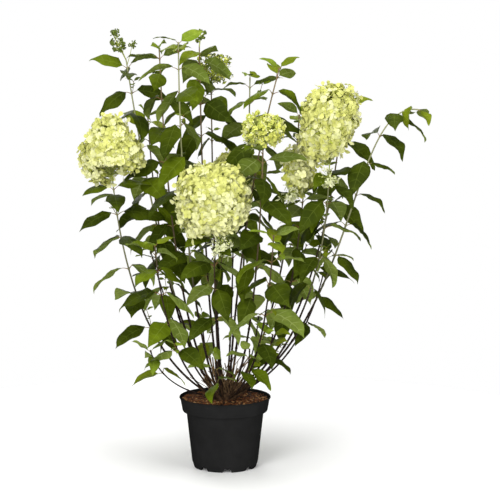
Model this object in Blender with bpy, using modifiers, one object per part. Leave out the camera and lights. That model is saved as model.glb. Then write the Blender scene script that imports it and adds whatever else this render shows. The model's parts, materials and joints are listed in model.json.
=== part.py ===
"""Panicle hydrangea in its nursery pot, about 1.12 m tall.

Metres, +Z up. The origin is the centre of the pot's underside. +X is the viewer's right
and -Y the viewer's side. Slender canes fan out from a short woody crown. Each main cane is
a bare bough up to its lowest leaves, and from there a foliage mass whose stem carries
opposite pairs of leaves, turned a quarter at each node. Flower heads stand on the tips.
"""

import math
import random
from collections import namedtuple

import bmesh
import bpy
from mathutils import Matrix, Vector
from mathutils.bvhtree import BVHTree

# Pot, a thin-walled five-litre nursery container with a turned-out collar
POT_HEIGHT = 0.180
LIP_RADIUS = 0.1152
LIP_HEIGHT = 0.0035
COLLAR_TOP_RADIUS = 0.1130
COLLAR_FOOT_RADIUS = 0.1077
COLLAR_HEIGHT = 0.037
COLLAR_ROUND = 0.004
BODY_TOP_RADIUS = 0.0975
BODY_FOOT_RADIUS = 0.0834
BEVEL_HEIGHT = 0.016
FOOT_RADIUS = 0.0787
FOOT_RING = 0.0043
EDGE_ROUND = 0.0008
WALL = 0.0018
FLOOR_RISE = 0.0075
PAD_RADIUS = 0.020
NOTCHES = 8
NOTCH_WIDTH = 0.026
NOTCH_TOP_WIDTH = 0.015
NOTCH_HEIGHT = 0.0095
NOTCH_TURN = 4
POT_STEPS = 28
CREASE = math.radians(35)

# Potting mix
SOIL_LEVEL = 0.1705
SOIL_MOUND = 0.0045
SOIL_SEAT_RADIUS = 0.036
SOIL_SLOPE_RADIUS = 0.075
SOIL_CLEAR = 0.0005

# Between neighbouring solids, and between points that are one
GAP = 0.0003
WELD = 1e-6

# Woody crown
GROUND = SOIL_LEVEL + SOIL_MOUND
STUMP_RADIUS = 0.030
STUMP_TOP_RADIUS = 0.020
STUMP_HEIGHT = 0.022
OLD_STUBS = 5
STUB_RADIUS = 0.0042
STUB_LENGTH = 0.030
ARM_SWELL = 1.3

# Canes: the short ones are the thinnest, and leave the crown the soonest
LOWEST_TIP, TALL_TIP, TOP_TIP = 0.30, 0.75, 1.05
THIN_GIRTH, FULL_GIRTH = 0.0019, 0.0030
SHORT_ARM, LONG_ARM = 0.040, 0.062
FOOT_RISE = 0.004
CANE_TIP_RADIUS = 0.0016
PATH_STEPS = 60
TANGENT_STEP = 0.004
END_STEP = 0.0015
BOUGH_STEPS = 4
STEM_STEP = 0.100

# Leaves, in shares of the blade's length where no unit is given. Angles are in degrees.
LEAF_WIDTH = 0.62
LEAF_SHOULDER = 0.46
LEAF_RIDGE = 0.020
LEAF_ARCH = 17
PETIOLE = 0.17
PETIOLE_RISE, YOUNG_RISE, RISE_SPREAD = 30, 28, 10
ROOT_DEPTH = 0.0010
STEM_LEAN = 0.45
YOUNG_SHRINK, LOW_SHRINK = 0.48, 0.10
SIZE_RANGE = (0.90, 1.12)
DROOP, LOW_DROOP, YOUNG_LIFT, DROOP_SPREAD = 30, 10, 50, 20
ROLL_SPREAD = 44
TURN_SPREAD = 18
SWINGS = (0, 25, -25, 50, -50, 80, -80)
SWING_DROOP = 0.15
LONGEST_INTERNODE = 0.080
FIRST_INTERNODE = 0.022
INTERNODE_GROWTH = 0.019
BARE_COLLAR = 0.012
TIP_INSET = {"leaves": 0.006, "bloom": 0.022}
CLEARANCE = 0.0012
LEAF_GROUND = GROUND + 0.012

# Side twigs
TWIG_RADIUS = 0.0014
TWIG_LENGTH = 0.105
TWIG_LEAF = 0.82
TWIG_BENDS = ((0.80, 0.60, 0.35), (0.45, 0.90, 0.35), (0.20, 1.00, 0.30))

# Flower heads, in shares of the head's length or radius
BLOOM_NECK = 0.012
BLOOM_CORE = 0.80
STALK_REACH = 0.30
FLORET_DEPTH = 0.36
GOLDEN_TURN = math.radians(137.5)

Cane = namedtuple("Cane", "name tip habit ring bare turn leaf twigs ending seed")
Bloom = namedtuple("Bloom", "name cane lean length radius belly fullness florets floret seed")
Leaf = namedtuple("Leaf", "root petiole heading angle roll length")

# Handles of a cane's curve, as shares of its reach and its rise
HABITS = {
    "bowed": ((0.50, 0.11), (0.88, 0.44)),
    "leaning": ((0.36, 0.13), (0.70, 0.47)),
    "upright": ((0.42, 0.10), (0.98, 0.42)),
    "late": ((0.12, 0.33), (0.45, 0.70)),
    "arching": ((0.68, 0.26), (0.62, 1.05)),
}

# name, tip (m), habit, distance of the foot from the axis (m), bare share, turn of the first
# leaf pair (deg), leaf length (m), side twigs, what ends it, seed
CANES = (
    Cane("left_outer", (-0.277, -0.030, 0.728), "bowed", 0.024, 0.34, 20, 0.112, 0, "bloom", 3),
    Cane("left_tall", (-0.246, 0.060, 1.022), "leaning", 0.022, 0.40, 10, 0.106, 1, "bloom", 5),
    Cane("left_inner", (-0.162, 0.020, 1.055), "bowed", 0.016, 0.36, 75, 0.110, 1, "leaves", 7),
    Cane("mid_left", (-0.112, -0.060, 1.075), "upright", 0.014, 0.34, 30, 0.114, 1, "leaves", 9),
    Cane("mid_back", (-0.064, 0.090, 1.052), "bowed", 0.012, 0.34, 50, 0.108, 1, "bloom", 11),
    Cane("front_centre", (-0.026, -0.120, 0.613), "bowed", 0.018, 0.38, 35, 0.104, 1, "bloom", 13),
    Cane("back_centre", (0.063, 0.120, 0.975), "bowed", 0.014, 0.34, 65, 0.112, 1, "leaves", 15),
    Cane("mid_right", (0.136, -0.030, 1.010), "late", 0.010, 0.36, 20, 0.112, 1, "leaves", 17),
    Cane("right_bloom", (0.258, -0.050, 0.757), "upright", 0.026, 0.44, 40, 0.106, 0, "bloom", 19),
    Cane("right_arch", (0.484, 0.000, 0.903), "arching", 0.024, 0.46, 30, 0.104, 0, "leaves", 21),
    Cane("right_back", (0.300, 0.110, 0.930), "bowed", 0.022, 0.40, 80, 0.104, 1, "leaves", 23),
    Cane("right_inner", (0.196, 0.010, 0.690), "bowed", 0.016, 0.38, 30, 0.106, 1, "bloom", 25),
    Cane("front_right", (0.095, -0.120, 0.826), "bowed", 0.016, 0.36, 70, 0.110, 1, "bloom", 27),
    Cane("back_mid", (-0.036, 0.185, 0.950), "bowed", 0.018, 0.36, 25, 0.108, 1, "bloom", 29),
    Cane("back_left", (-0.200, 0.220, 0.870), "bowed", 0.024, 0.38, 55, 0.110, 1, "leaves", 31),
    Cane("back_right", (0.190, 0.240, 0.870), "bowed", 0.024, 0.38, 15, 0.110, 1, "leaves", 33),
)

# Shorter shoots are one mass each, from the crown to the tip
SHOOTS = (
    Cane("back_low", (0.020, 0.300, 0.630), "bowed", 0.026, 0.34, 45, 0.108, 0, "bloom", 41),
    Cane("front_left", (-0.168, -0.175, 0.590), "bowed", 0.024, 0.34, 60, 0.112, 0, "leaves", 43),
    Cane("front_side", (0.120, -0.215, 0.620), "bowed", 0.024, 0.34, 20, 0.116, 0, "leaves", 45),
    Cane("right_low", (0.262, 0.115, 0.540), "bowed", 0.024, 0.52, 75, 0.096, 0, "leaves", 47),
    Cane("left_low", (-0.190, 0.090, 0.540), "leaning", 0.020, 0.36, 35, 0.094, 0, "leaves", 49),
    Cane("base_left", (-0.185, -0.065, 0.310), "bowed", 0.022, 0.42, 15, 0.092, 0, "leaves", 51),
    Cane("base_front", (-0.022, -0.140, 0.300), "upright", 0.022, 0.48, 80, 0.096, 0, "leaves", 53),
    Cane("base_front_right", (0.062, -0.125, 0.325), "upright", 0.022, 0.46, 50, 0.098, 0, "leaves", 55),
    Cane("base_right", (0.120, -0.035, 0.345), "bowed", 0.022, 0.46, 25, 0.092, 0, "leaves", 57),
    Cane("base_back", (-0.060, 0.150, 0.350), "bowed", 0.023, 0.44, 70, 0.092, 0, "leaves", 59),
    Cane("base_back_right", (0.085, 0.140, 0.360), "bowed", 0.023, 0.44, 20, 0.092, 0, "leaves", 61),
)

# name, the cane that bears it, how far its top leans over (m in x, y), length (m), radius (m),
# how high its widest part is, how square its sides are, florets, floret half width (m), seed
BLOOMS = (
    Bloom("panicle_left", "left_outer", (-0.006, -0.020), 0.164, 0.075, 0.30, 1.5, 28, 0.0250, 101),
    Bloom("panicle_centre", "front_centre", (-0.003, -0.050), 0.162, 0.087, 0.48, 3.0, 33, 0.0260, 103),
    Bloom("panicle_right", "right_bloom", (0.016, -0.020), 0.208, 0.067, 0.60, 2.3, 31, 0.0250, 105),
    Bloom("panicle_young", "front_right", (0.004, -0.020), 0.064, 0.046, 0.45, 2.5, 14, 0.0180, 107),
    Bloom("panicle_inner", "right_inner", (-0.020, -0.015), 0.105, 0.034, 0.45, 2.0, 12, 0.0170, 109),
    Bloom("panicle_back", "back_low", (0.004, 0.030), 0.130, 0.060, 0.36, 2.0, 18, 0.0230, 111),
    Bloom("buds_left", "left_tall", (-0.036, 0.000), 0.070, 0.020, 0.50, 2.5, 9, 0.0100, 113),
    Bloom("buds_mid", "mid_back", (0.004, 0.005), 0.034, 0.011, 0.45, 2.0, 6, 0.0070, 115),
    Bloom("buds_back", "back_mid", (0.010, 0.000), 0.068, 0.040, 0.45, 2.5, 12, 0.0145, 117),
)


def linear(hex_colour):
    """Linear RGBA of an sRGB hex colour."""
    channels = [int(hex_colour[i : i + 2], 16) / 255 for i in (0, 2, 4)]
    return [c / 12.92 if c <= 0.04045 else ((c + 0.055) / 1.055) ** 2.4 for c in channels] + [1.0]


def material(name, hex_colour, roughness):
    made = bpy.data.materials.new(name)
    made.use_nodes = True
    shader = made.node_tree.nodes["Principled BSDF"]
    shader.inputs["Base Color"].default_value = linear(hex_colour)
    shader.inputs["Roughness"].default_value = roughness
    shader.inputs["Metallic"].default_value = 0.0
    made.diffuse_color = linear(hex_colour)
    return made


def clear_scene():
    for thing in list(bpy.data.objects):
        bpy.data.objects.remove(thing)


def collection(name):
    made = bpy.data.collections.new(name)
    bpy.context.scene.collection.children.link(made)
    return made


def add_object(name, data, where, finish=None):
    made = bpy.data.objects.new(name, data)
    where.objects.link(made)
    if finish:
        data.materials.append(finish)
    return made


def mesh_from(name, bm):
    bmesh.ops.recalc_face_normals(bm, faces=bm.faces)
    mesh = bpy.data.meshes.new(name)
    bm.to_mesh(mesh)
    bm.free()
    return mesh


def baked(thing, weld=True):
    """A plain mesh of an object as its modifiers leave it, with a curve's caps welded on."""
    bpy.context.view_layer.update()
    graph = bpy.context.evaluated_depsgraph_get()
    mesh = bpy.data.meshes.new_from_object(thing.evaluated_get(graph))
    bm = bmesh.new()
    bm.from_mesh(mesh)
    if weld:
        bmesh.ops.remove_doubles(bm, verts=bm.verts, dist=WELD)
    bmesh.ops.triangulate(bm, faces=bm.faces)
    bm.to_mesh(mesh)
    bm.free()
    return mesh


def shade_round(mesh):
    """Smooth shading, with the edges sharper than a crease kept sharp."""
    mesh.shade_smooth()
    mesh.set_sharp_from_angle(angle=CREASE)


def settle(body):
    """Applies a turned body's modifiers and shades it round."""
    body.data = baked(body, weld=False)
    body.modifiers.clear()
    shade_round(body.data)


# Paths of the canes


def growth(cane, low, high, full_height):
    """A size that grows with the height of a cane's tip."""
    share = (cane.tip[2] - LOWEST_TIP) / (full_height - LOWEST_TIP)
    return low + (high - low) * min(1.0, share)


def girth_of(cane):
    return growth(cane, THIN_GIRTH, FULL_GIRTH, TALL_TIP)


def arm_of(cane):
    return growth(cane, SHORT_ARM, LONG_ARM, TOP_TIP)


def handles(cane):
    """The four points of a cane's curve, from its foot in the crown to its tip."""
    tip = Vector(cane.tip)
    out = Vector((tip.x, tip.y, 0.0)).normalized()
    foot = out * cane.ring + Vector((0.0, 0.0, GROUND + FOOT_RISE))
    reach = (tip - foot).dot(out)
    rise = tip.z - foot.z
    inner = [foot + out * reach * across + Vector((0, 0, rise * up)) for across, up in HABITS[cane.habit]]
    return foot, *inner, tip


class Path:
    """A limb's centre line and taper, read by the distance along it."""

    def __init__(self, curve, girth, tip_radius):
        a, b, c, d = curve
        self.points = []
        for i in range(PATH_STEPS + 1):
            t = i / PATH_STEPS
            outer = a * (1 - t) ** 3 + d * t**3
            self.points.append(outer + b * 3 * t * (1 - t) ** 2 + c * 3 * t * t * (1 - t))
        self.reached = [0.0]
        for p, q in zip(self.points, self.points[1:]):
            self.reached.append(self.reached[-1] + (q - p).length)
        self.length = self.reached[-1]
        self.girth = girth
        self.tip_radius = tip_radius

    def at(self, s):
        s = min(max(s, 0.0), self.length)
        i = 1
        while i < PATH_STEPS and self.reached[i] < s:
            i += 1
        share = (s - self.reached[i - 1]) / (self.reached[i] - self.reached[i - 1])
        return self.points[i - 1].lerp(self.points[i], share)

    def along(self, s):
        return (self.at(s + TANGENT_STEP) - self.at(s - TANGENT_STEP)).normalized()

    def radius(self, s):
        return self.girth + (self.tip_radius - self.girth) * s / self.length


def tube_mesh(points, radii, sides_step):
    """A tapering limb, made as a curve with filled ends and turned into a mesh."""
    curve = bpy.data.curves.new("limb", "CURVE")
    curve.dimensions = "3D"
    curve.bevel_depth = 1.0
    curve.bevel_resolution = sides_step
    curve.use_fill_caps = True
    spline = curve.splines.new("POLY")
    spline.points.add(len(points) - 1)
    for place, point, radius in zip(spline.points, points, radii):
        place.co = (*point, 1.0)
        place.radius = radius
    limb = add_object("limb", curve, bpy.context.scene.collection)
    mesh = baked(limb)
    bpy.data.objects.remove(limb)
    return mesh


def limb_mesh(path, start, end, steps, sides_step, swell=1.0):
    """A stretch of a cane. A short first and last step turn its ends square to the cane."""
    stations = [start + (end - start) * i / steps for i in range(steps + 1)]
    stations[1:1] = [start + END_STEP]
    stations[-1:-1] = [end - END_STEP]
    radii = [path.radius(s) * swell for s in stations]
    return tube_mesh([path.at(s) for s in stations], radii, sides_step)


# Leaves and twigs


def side_frame(direction):
    """Two directions across a stem, the first as near the viewer's right as it can be."""
    u = Vector((1.0, 0.0, 0.0)) if abs(direction.x) < 0.9 else Vector((0.0, 1.0, 0.0))
    u = (u - direction * u.dot(direction)).normalized()
    return u, direction.cross(u).normalized()


def leaf_points(leaf, extra=0.0):
    """Root, left, right, ridge and tip of a leaf, grown by some extra on all sides."""
    up = Vector((0.0, 0.0, 1.0))
    arch = math.radians(LEAF_ARCH)
    steep, slack = leaf.angle + arch, leaf.angle - arch
    near = leaf.heading * math.cos(steep) + up * math.sin(steep)
    far = leaf.heading * math.cos(slack) + up * math.sin(slack)
    base = leaf.root + leaf.petiole * PETIOLE * leaf.length
    middle = base + near * LEAF_SHOULDER * leaf.length
    tip = middle + far * ((1 - LEAF_SHOULDER) * leaf.length + extra)
    side = Matrix.Rotation(leaf.roll, 3, near) @ leaf.heading.cross(up)
    normal = side.cross(near).normalized()
    half = side * (LEAF_WIDTH * leaf.length / 2 + extra)
    low = middle - normal * extra
    ridge = middle + normal * (LEAF_RIDGE * leaf.length + extra)
    return leaf.root - leaf.petiole * (ROOT_DEPTH + extra), low - half, low + half, ridge, tip


def leaf_mesh(leaf, extra=0.0):
    """A blade of six faces: from a point within the stem to the shoulder, and on to the tip."""
    root, left, right, ridge, tip = leaf_points(leaf, extra)
    bm = bmesh.new()
    bmesh.ops.create_cone(bm, cap_ends=False, segments=3, radius1=1, radius2=0, depth=1)
    rim = sorted((v for v in bm.verts if v.co.z < 0), key=lambda v: math.atan2(v.co.y, v.co.x))
    apex = next(v for v in bm.verts if v.co.z > 0)
    open_side = bmesh.ops.holes_fill(bm, edges=bm.edges, sides=3)
    made = bmesh.ops.poke(bm, faces=open_side["faces"])
    for vertex, place in zip(rim, (left, right, ridge)):
        vertex.co = place
    apex.co = tip
    made["verts"][0].co = root
    return mesh_from("leaf", bm)


def pair_stations(path, start, ending):
    """Distances along a stem of its leaf pairs, from the tip down, closer together at the tip."""
    s = path.length - TIP_INSET[ending]
    stations = []
    while s > start + BARE_COLLAR:
        stations.append(s)
        s -= min(LONGEST_INTERNODE, FIRST_INTERNODE + INTERNODE_GROWTH * (len(stations) - 1))
    return stations


def youth(count, ending):
    """1 in a leafy tip's first pair and 0 in grown leaves. A stem that flowers has a grown first pair."""
    return max(0.0, 1.0 - count / 3) if ending == "leaves" else max(0.0, 0.5 - count / 4)


def leaf_choices(root, direction, way, size, young, low, dice):
    """One leaf of the rule, with the other ways it can swing to find room."""
    length = size * (1.0 - YOUNG_SHRINK * young) * (1.0 - LOW_SHRINK * low) * dice.uniform(*SIZE_RANGE)
    rise = math.radians(PETIOLE_RISE + YOUNG_RISE * young + RISE_SPREAD * dice.uniform(-1, 1))
    lift = YOUNG_LIFT * young * max(0.0, direction.z)
    angle = math.radians(lift - DROOP - LOW_DROOP * low + DROOP_SPREAD * dice.uniform(-1, 1))
    roll = math.radians(ROLL_SPREAD * dice.uniform(-1, 1))
    u, v = side_frame(direction)
    side = u * math.cos(way) + v * math.sin(way)
    petiole = (side * math.cos(rise) + direction * math.sin(rise)).normalized()
    flat = side + direction * STEM_LEAN
    heading = Vector((flat.x, flat.y, 0.0)).normalized()
    choices = []
    for swing in map(math.radians, SWINGS):
        turned_heading = Matrix.Rotation(swing, 3, "Z") @ heading
        choices.append(Leaf(root, petiole, turned_heading, angle - abs(swing) * SWING_DROOP, roll, length))
    return choices


def leaves_of(path, stations, size, turn, ending, dice):
    """Every leaf that the rule puts on a stem, in opposite pairs that turn a quarter at each node."""
    found = []
    for count, s in enumerate(stations):
        low = count / max(1, len(stations) - 1)
        for half_turn in (0, 180):
            way = math.radians(turn + 90 * count + half_turn + TURN_SPREAD * dice.uniform(-1, 1))
            young = youth(count, ending)
            found.append(leaf_choices(path.at(s), path.along(s), way, size, young, low, dice))
    return found


def twigs_of(path, stations, cane, dice):
    """Short side twigs from the axils of the lower leaf pairs."""
    made = []
    for i in range(cane.twigs):
        s = stations[-2 - 2 * i]
        direction = path.along(s)
        u, v = side_frame(direction)
        way = math.radians(cane.turn + 45 + 140 * i + 25 * dice.uniform(-1, 1))
        side = u * math.cos(way) + v * math.sin(way)
        length = TWIG_LENGTH * dice.uniform(0.85, 1.15)
        curve = [path.at(s)]
        for across, on, share in TWIG_BENDS:
            curve.append(curve[-1] + (side * across + direction * on).normalized() * length * share)
        made.append(Path(curve, TWIG_RADIUS, TWIG_RADIUS * 0.8))
    return made


def tree_of(mesh):
    points = [v.co.copy() for v in mesh.vertices]
    return BVHTree.FromPolygons(points, [tuple(p.vertices) for p in mesh.polygons])


def blade_tree(leaf):
    """The outer part of a leaf, to tell whether leaves of one mass lie in each other."""
    root, left, right, ridge, tip = leaf_points(leaf, CLEARANCE)
    inset = [root.lerp(point, 0.45) for point in (left, right, ridge)]
    points = [*inset, left, right, ridge, tip]
    faces = [(0, 1, 4, 3), (1, 2, 5, 4), (2, 0, 3, 5), (3, 4, 6), (4, 5, 6), (5, 3, 6)]
    return BVHTree.FromPolygons(points, faces)


def united(name, base, others, where, finish):
    """One closed body: the base joined with every other mesh by a single Boolean union."""
    body = add_object(name, base, where)
    pieces = collection("joining")
    for mesh in others:
        add_object("piece", mesh, pieces)
    union = body.modifiers.new("union", "BOOLEAN")
    union.operation = "UNION"
    union.operand_type = "COLLECTION"
    union.collection = pieces
    union.solver = "EXACT"
    joined = baked(body, weld=False)
    body.modifiers.clear()
    for piece in list(pieces.objects):
        bpy.data.objects.remove(piece)
    bpy.data.collections.remove(pieces)
    keep_largest(joined)
    joined.name = name
    joined.materials.clear()
    joined.materials.append(finish)
    body.data = joined
    return body


def keep_largest(mesh):
    """Drops the loose scraps that a union can leave beside its largest body."""
    bm = bmesh.new()
    bm.from_mesh(mesh)
    islands = []
    waiting = set(bm.verts)
    while waiting:
        front = [waiting.pop()]
        island = set(front)
        while front:
            linked = {v for edge in front.pop().link_edges for v in edge.verts} & waiting
            waiting -= linked
            island |= linked
            front.extend(linked)
        islands.append(island)
    keep = max(islands, key=len)
    bmesh.ops.delete(bm, geom=[v for v in bm.verts if v not in keep], context="VERTS")
    bm.to_mesh(mesh)
    bm.free()


# Pot and potting mix


def turned(name, outline, steps, where, finish):
    """A closed solid of revolution. Its outline of (radius, height) pairs runs down the outer side."""
    mesh = bpy.data.meshes.new(name)
    bm = bmesh.new()
    points = [bm.verts.new((radius, 0.0, height)) for radius, height in outline]
    for a, b in zip(points, points[1:]):
        bm.edges.new((a, b))
    bm.to_mesh(mesh)
    bm.free()
    body = add_object(name, mesh, where, finish)
    screw = body.modifiers.new("turn", "SCREW")
    screw.steps = screw.render_steps = steps
    screw.use_merge_vertices = True
    screw.merge_threshold = WELD
    screw.use_normal_calculate = True
    return body


def inner_radius(height):
    """The pot's inner wall below the collar, at a height."""
    share = (height - BEVEL_HEIGHT) / (POT_HEIGHT - COLLAR_HEIGHT - BEVEL_HEIGHT)
    if share < 0:
        foot_share = height / BEVEL_HEIGHT
        return FOOT_RADIUS + (BODY_FOOT_RADIUS - FOOT_RADIUS) * foot_share - WALL
    return BODY_FOOT_RADIUS + (BODY_TOP_RADIUS - BODY_FOOT_RADIUS) * share - WALL


def pot_outline():
    collar_foot = POT_HEIGHT - COLLAR_HEIGHT
    floor_top = FLOOR_RISE + WALL
    under_lip = POT_HEIGHT - LIP_HEIGHT
    round_steps = [math.radians(a) for a in (0, 45, 90)]
    collar_round = [
        (
            COLLAR_FOOT_RADIUS - COLLAR_ROUND * (1 - math.cos(a)),
            collar_foot + COLLAR_ROUND * (1 - math.sin(a)),
        )
        for a in round_steps
    ]
    return [
        (0.0, floor_top),
        (inner_radius(floor_top), floor_top),
        (inner_radius(BEVEL_HEIGHT), BEVEL_HEIGHT),
        (BODY_TOP_RADIUS - WALL, collar_foot + WALL),
        (COLLAR_FOOT_RADIUS - WALL, collar_foot + 2 * WALL),
        (COLLAR_TOP_RADIUS - WALL, POT_HEIGHT),
        (LIP_RADIUS - EDGE_ROUND, POT_HEIGHT),
        (LIP_RADIUS, POT_HEIGHT - EDGE_ROUND),
        (LIP_RADIUS, under_lip),
        (COLLAR_TOP_RADIUS, under_lip - EDGE_ROUND),
        *collar_round,
        (BODY_TOP_RADIUS, collar_foot),
        (BODY_FOOT_RADIUS, BEVEL_HEIGHT),
        (FOOT_RADIUS, 3 * EDGE_ROUND),
        (FOOT_RADIUS - EDGE_ROUND, 0.0),
        (FOOT_RADIUS - FOOT_RING, 0.0),
        (FOOT_RADIUS - FOOT_RING, FLOOR_RISE),
        (PAD_RADIUS, FLOOR_RISE),
        (PAD_RADIUS, 0.0),
        (0.0, 0.0),
    ]


def add_notch_cutters(where):
    """Trapezoid blocks through the foot, evenly spaced round it."""
    inside, outside, below = FOOT_RADIUS - 0.016, BODY_FOOT_RADIUS + 0.006, -0.004
    for i in range(NOTCHES):
        bm = bmesh.new()
        bmesh.ops.create_cube(bm, size=1.0)
        for vertex in bm.verts:
            top = vertex.co.z > 0
            vertex.co = (
                outside if vertex.co.x > 0 else inside,
                math.copysign(NOTCH_TOP_WIDTH if top else NOTCH_WIDTH, vertex.co.y) / 2,
                NOTCH_HEIGHT if top else below,
            )
        cutter = add_object(f"notch_{i}", mesh_from("notch", bm), where)
        cutter.rotation_euler.z = math.radians(360 / NOTCHES * i - 90 + NOTCH_TURN)
        cutter.hide_render = True
        cutter.display_type = "WIRE"


def build_pot(where, cutters, finish):
    pot = turned("pot", pot_outline(), POT_STEPS, where, finish)
    add_notch_cutters(cutters)
    cut = pot.modifiers.new("notches", "BOOLEAN")
    cut.operation = "DIFFERENCE"
    cut.operand_type = "COLLECTION"
    cut.collection = cutters
    cut.solver = "EXACT"
    settle(pot)


def build_soil(where, finish):
    """Potting mix: it fills the pot to just under the lip, a little higher round the crown."""
    floor_top = FLOOR_RISE + WALL + GAP
    collar_foot = POT_HEIGHT - COLLAR_HEIGHT
    inset = WALL + 3 * SOIL_CLEAR
    collar_share = (SOIL_LEVEL - collar_foot) / COLLAR_HEIGHT
    edge = COLLAR_FOOT_RADIUS + (COLLAR_TOP_RADIUS - COLLAR_FOOT_RADIUS) * collar_share
    outline = [
        (0.0, GROUND),
        (SOIL_SEAT_RADIUS, GROUND),
        (SOIL_SLOPE_RADIUS, SOIL_LEVEL + SOIL_MOUND / 4),
        (edge - inset, SOIL_LEVEL),
        (COLLAR_FOOT_RADIUS - inset, collar_foot + 2 * WALL + 2 * SOIL_CLEAR),
        (BODY_TOP_RADIUS - inset, collar_foot + WALL),
        (inner_radius(BEVEL_HEIGHT) - SOIL_CLEAR, BEVEL_HEIGHT),
        (inner_radius(floor_top) - SOIL_CLEAR, floor_top),
        (0.0, floor_top),
    ]
    settle(turned("potting_mix", outline, POT_STEPS, where, finish))


# Crown, boughs, masses and flower heads


def old_stubs():
    """Short cut ends of earlier years' canes, spaced round the crown."""
    dice = random.Random(71)
    made = []
    for i in range(OLD_STUBS):
        way = math.radians(360 / OLD_STUBS * i + 20 + dice.uniform(-12, 12))
        tilt = math.radians(dice.uniform(12, 30))
        out = Vector((math.cos(way), math.sin(way), 0.0))
        foot = out * STUMP_TOP_RADIUS * 0.4 + Vector((0.0, 0.0, GROUND + STUMP_HEIGHT / 2))
        lean = out * math.sin(tilt) + Vector((0.0, 0.0, math.cos(tilt)))
        end = foot + lean * STUB_LENGTH * dice.uniform(0.8, 1.2)
        made.append(tube_mesh([foot, end], [STUB_RADIUS, STUB_RADIUS * 0.85], 0))
    return made


def build_crown(paths, where, finish):
    """A squat stump with an arm towards each cane, and a few old cut stubs."""
    bm = bmesh.new()
    bmesh.ops.create_cone(
        bm,
        cap_ends=True,
        segments=12,
        radius1=STUMP_RADIUS,
        radius2=STUMP_TOP_RADIUS,
        depth=STUMP_HEIGHT,
        matrix=Matrix.Translation((0.0, 0.0, GROUND + GAP + STUMP_HEIGHT / 2)),
    )
    bmesh.ops.triangulate(bm, faces=bm.faces)
    stump = mesh_from("stump", bm)
    arms = [limb_mesh(path, 0.0, arm, 1, 0, ARM_SWELL) for path, arm in paths]
    crown = united("woody_crown", stump, arms + old_stubs(), where, finish)
    shade_round(crown.data)
    return crown


def egg(bloom, share):
    """Half width of a flower head at a share of its length, for a half width of 1 at its belly."""
    under = share < bloom.belly
    span = bloom.belly if under else 1 - bloom.belly
    power = max(2.0, bloom.fullness) if under else bloom.fullness
    return max(0.0, 1 - abs((share - bloom.belly) / span) ** power) ** (1 / power)


def bloom_core(bloom, start, turn):
    """An egg within the florets."""
    bm = bmesh.new()
    rings = 6 if bloom.florets > 20 else 4
    bmesh.ops.create_uvsphere(bm, u_segments=rings + 2, v_segments=rings, radius=1.0)
    for vertex in bm.verts:
        share = (vertex.co.z + 1) / 2
        across = Vector((vertex.co.x, vertex.co.y, 0.0))
        if across.length > WELD:
            across = across.normalized() * egg(bloom, share) * bloom.radius * BLOOM_CORE
        vertex.co = start + turn @ (across + Vector((0, 0, (0.05 + 0.90 * share) * bloom.length)))
    bmesh.ops.triangulate(bm, faces=bm.faces)
    return mesh_from("core", bm)


def floret(bloom, start, turn, number, dice):
    """A four-sided cone with its point in the core, so that its wide end stands out as four sepals."""
    share = 0.03 + 0.95 * (number + 0.5) / bloom.florets
    way = Vector((math.cos(GOLDEN_TURN * number), math.sin(GOLDEN_TURN * number), 0.0))
    above, below = min(1.0, share + 0.02), max(0.0, share - 0.02)
    slope = (egg(bloom, above) - egg(bloom, below)) * bloom.radius / (0.04 * bloom.length)
    out = (way - Vector((0.0, 0.0, slope))).normalized()
    face = start + turn @ (way * egg(bloom, share) * bloom.radius + Vector((0, 0, share * bloom.length)))
    depth = bloom.radius * FLORET_DEPTH
    size = bloom.floret * dice.uniform(0.88, 1.12)
    bm = bmesh.new()
    bmesh.ops.create_cone(bm, cap_ends=True, segments=4, radius1=0.0, radius2=size, depth=depth)
    aim = (turn @ out).to_track_quat("Z", "Y").to_matrix()
    spin = Matrix.Rotation(dice.uniform(0, math.pi / 2), 3, "Z")
    for vertex in bm.verts:
        vertex.co = face + aim @ (spin @ vertex.co - Vector((0, 0, depth / 2)))
    bmesh.ops.triangulate(bm, faces=bm.faces)
    return mesh_from("floret", bm)


def build_bloom(bloom, path, where, finish):
    """A short stalk, a core, and florets that stand out of the core in a spiral."""
    up_stem = path.along(path.length)
    neck = path.at(path.length) + up_stem * GAP
    axis = Vector((*bloom.lean, bloom.length)).normalized()
    turn = axis.to_track_quat("Z", "Y").to_matrix()
    start = neck + axis * BLOOM_NECK
    stalk = [neck, neck + up_stem * 2 * END_STEP, start + axis * bloom.length * STALK_REACH]
    pieces = [tube_mesh(stalk, [path.tip_radius] * 3, 1)]
    dice = random.Random(bloom.seed)
    pieces += [floret(bloom, start, turn, i, dice) for i in range(bloom.florets)]
    return united(bloom.name, bloom_core(bloom, start, turn), pieces, where, finish)


def clear_of(tree, others):
    return not any(tree.overlap(other) for other in others)


def grow(cane, path, others):
    """The twigs and leaves of one mass, each where it is clear of everything else."""
    dice = random.Random(cane.seed)
    stations = pair_stations(path, cane.bare * path.length, cane.ending)
    stems = [(path, stations, cane.leaf, cane.turn, cane.ending)]
    own = []
    kept = []
    for twig in twigs_of(path, stations, cane, dice):
        wide = tree_of(limb_mesh(twig, 2 * girth_of(cane), twig.length, 2, 0, 2.0))
        if clear_of(wide, others):
            own.append(wide)
            kept.append(limb_mesh(twig, 0.0, twig.length, 2, 0))
            places = (twig.length - TIP_INSET["leaves"], twig.length * 0.45)
            stems.append((twig, places, cane.leaf * TWIG_LEAF, 0, "leaves"))
    for stem, places, size, turn, ending in stems:
        for choices in leaves_of(stem, places, size, turn, ending, dice):
            for leaf in choices:
                whole, outer = tree_of(leaf_mesh(leaf, CLEARANCE)), blade_tree(leaf)
                above = leaf_points(leaf)[-1].z > LEAF_GROUND
                if above and clear_of(whole, others) and clear_of(outer, own):
                    own.append(outer)
                    kept.append(leaf_mesh(leaf))
                    break
    return kept


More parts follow.
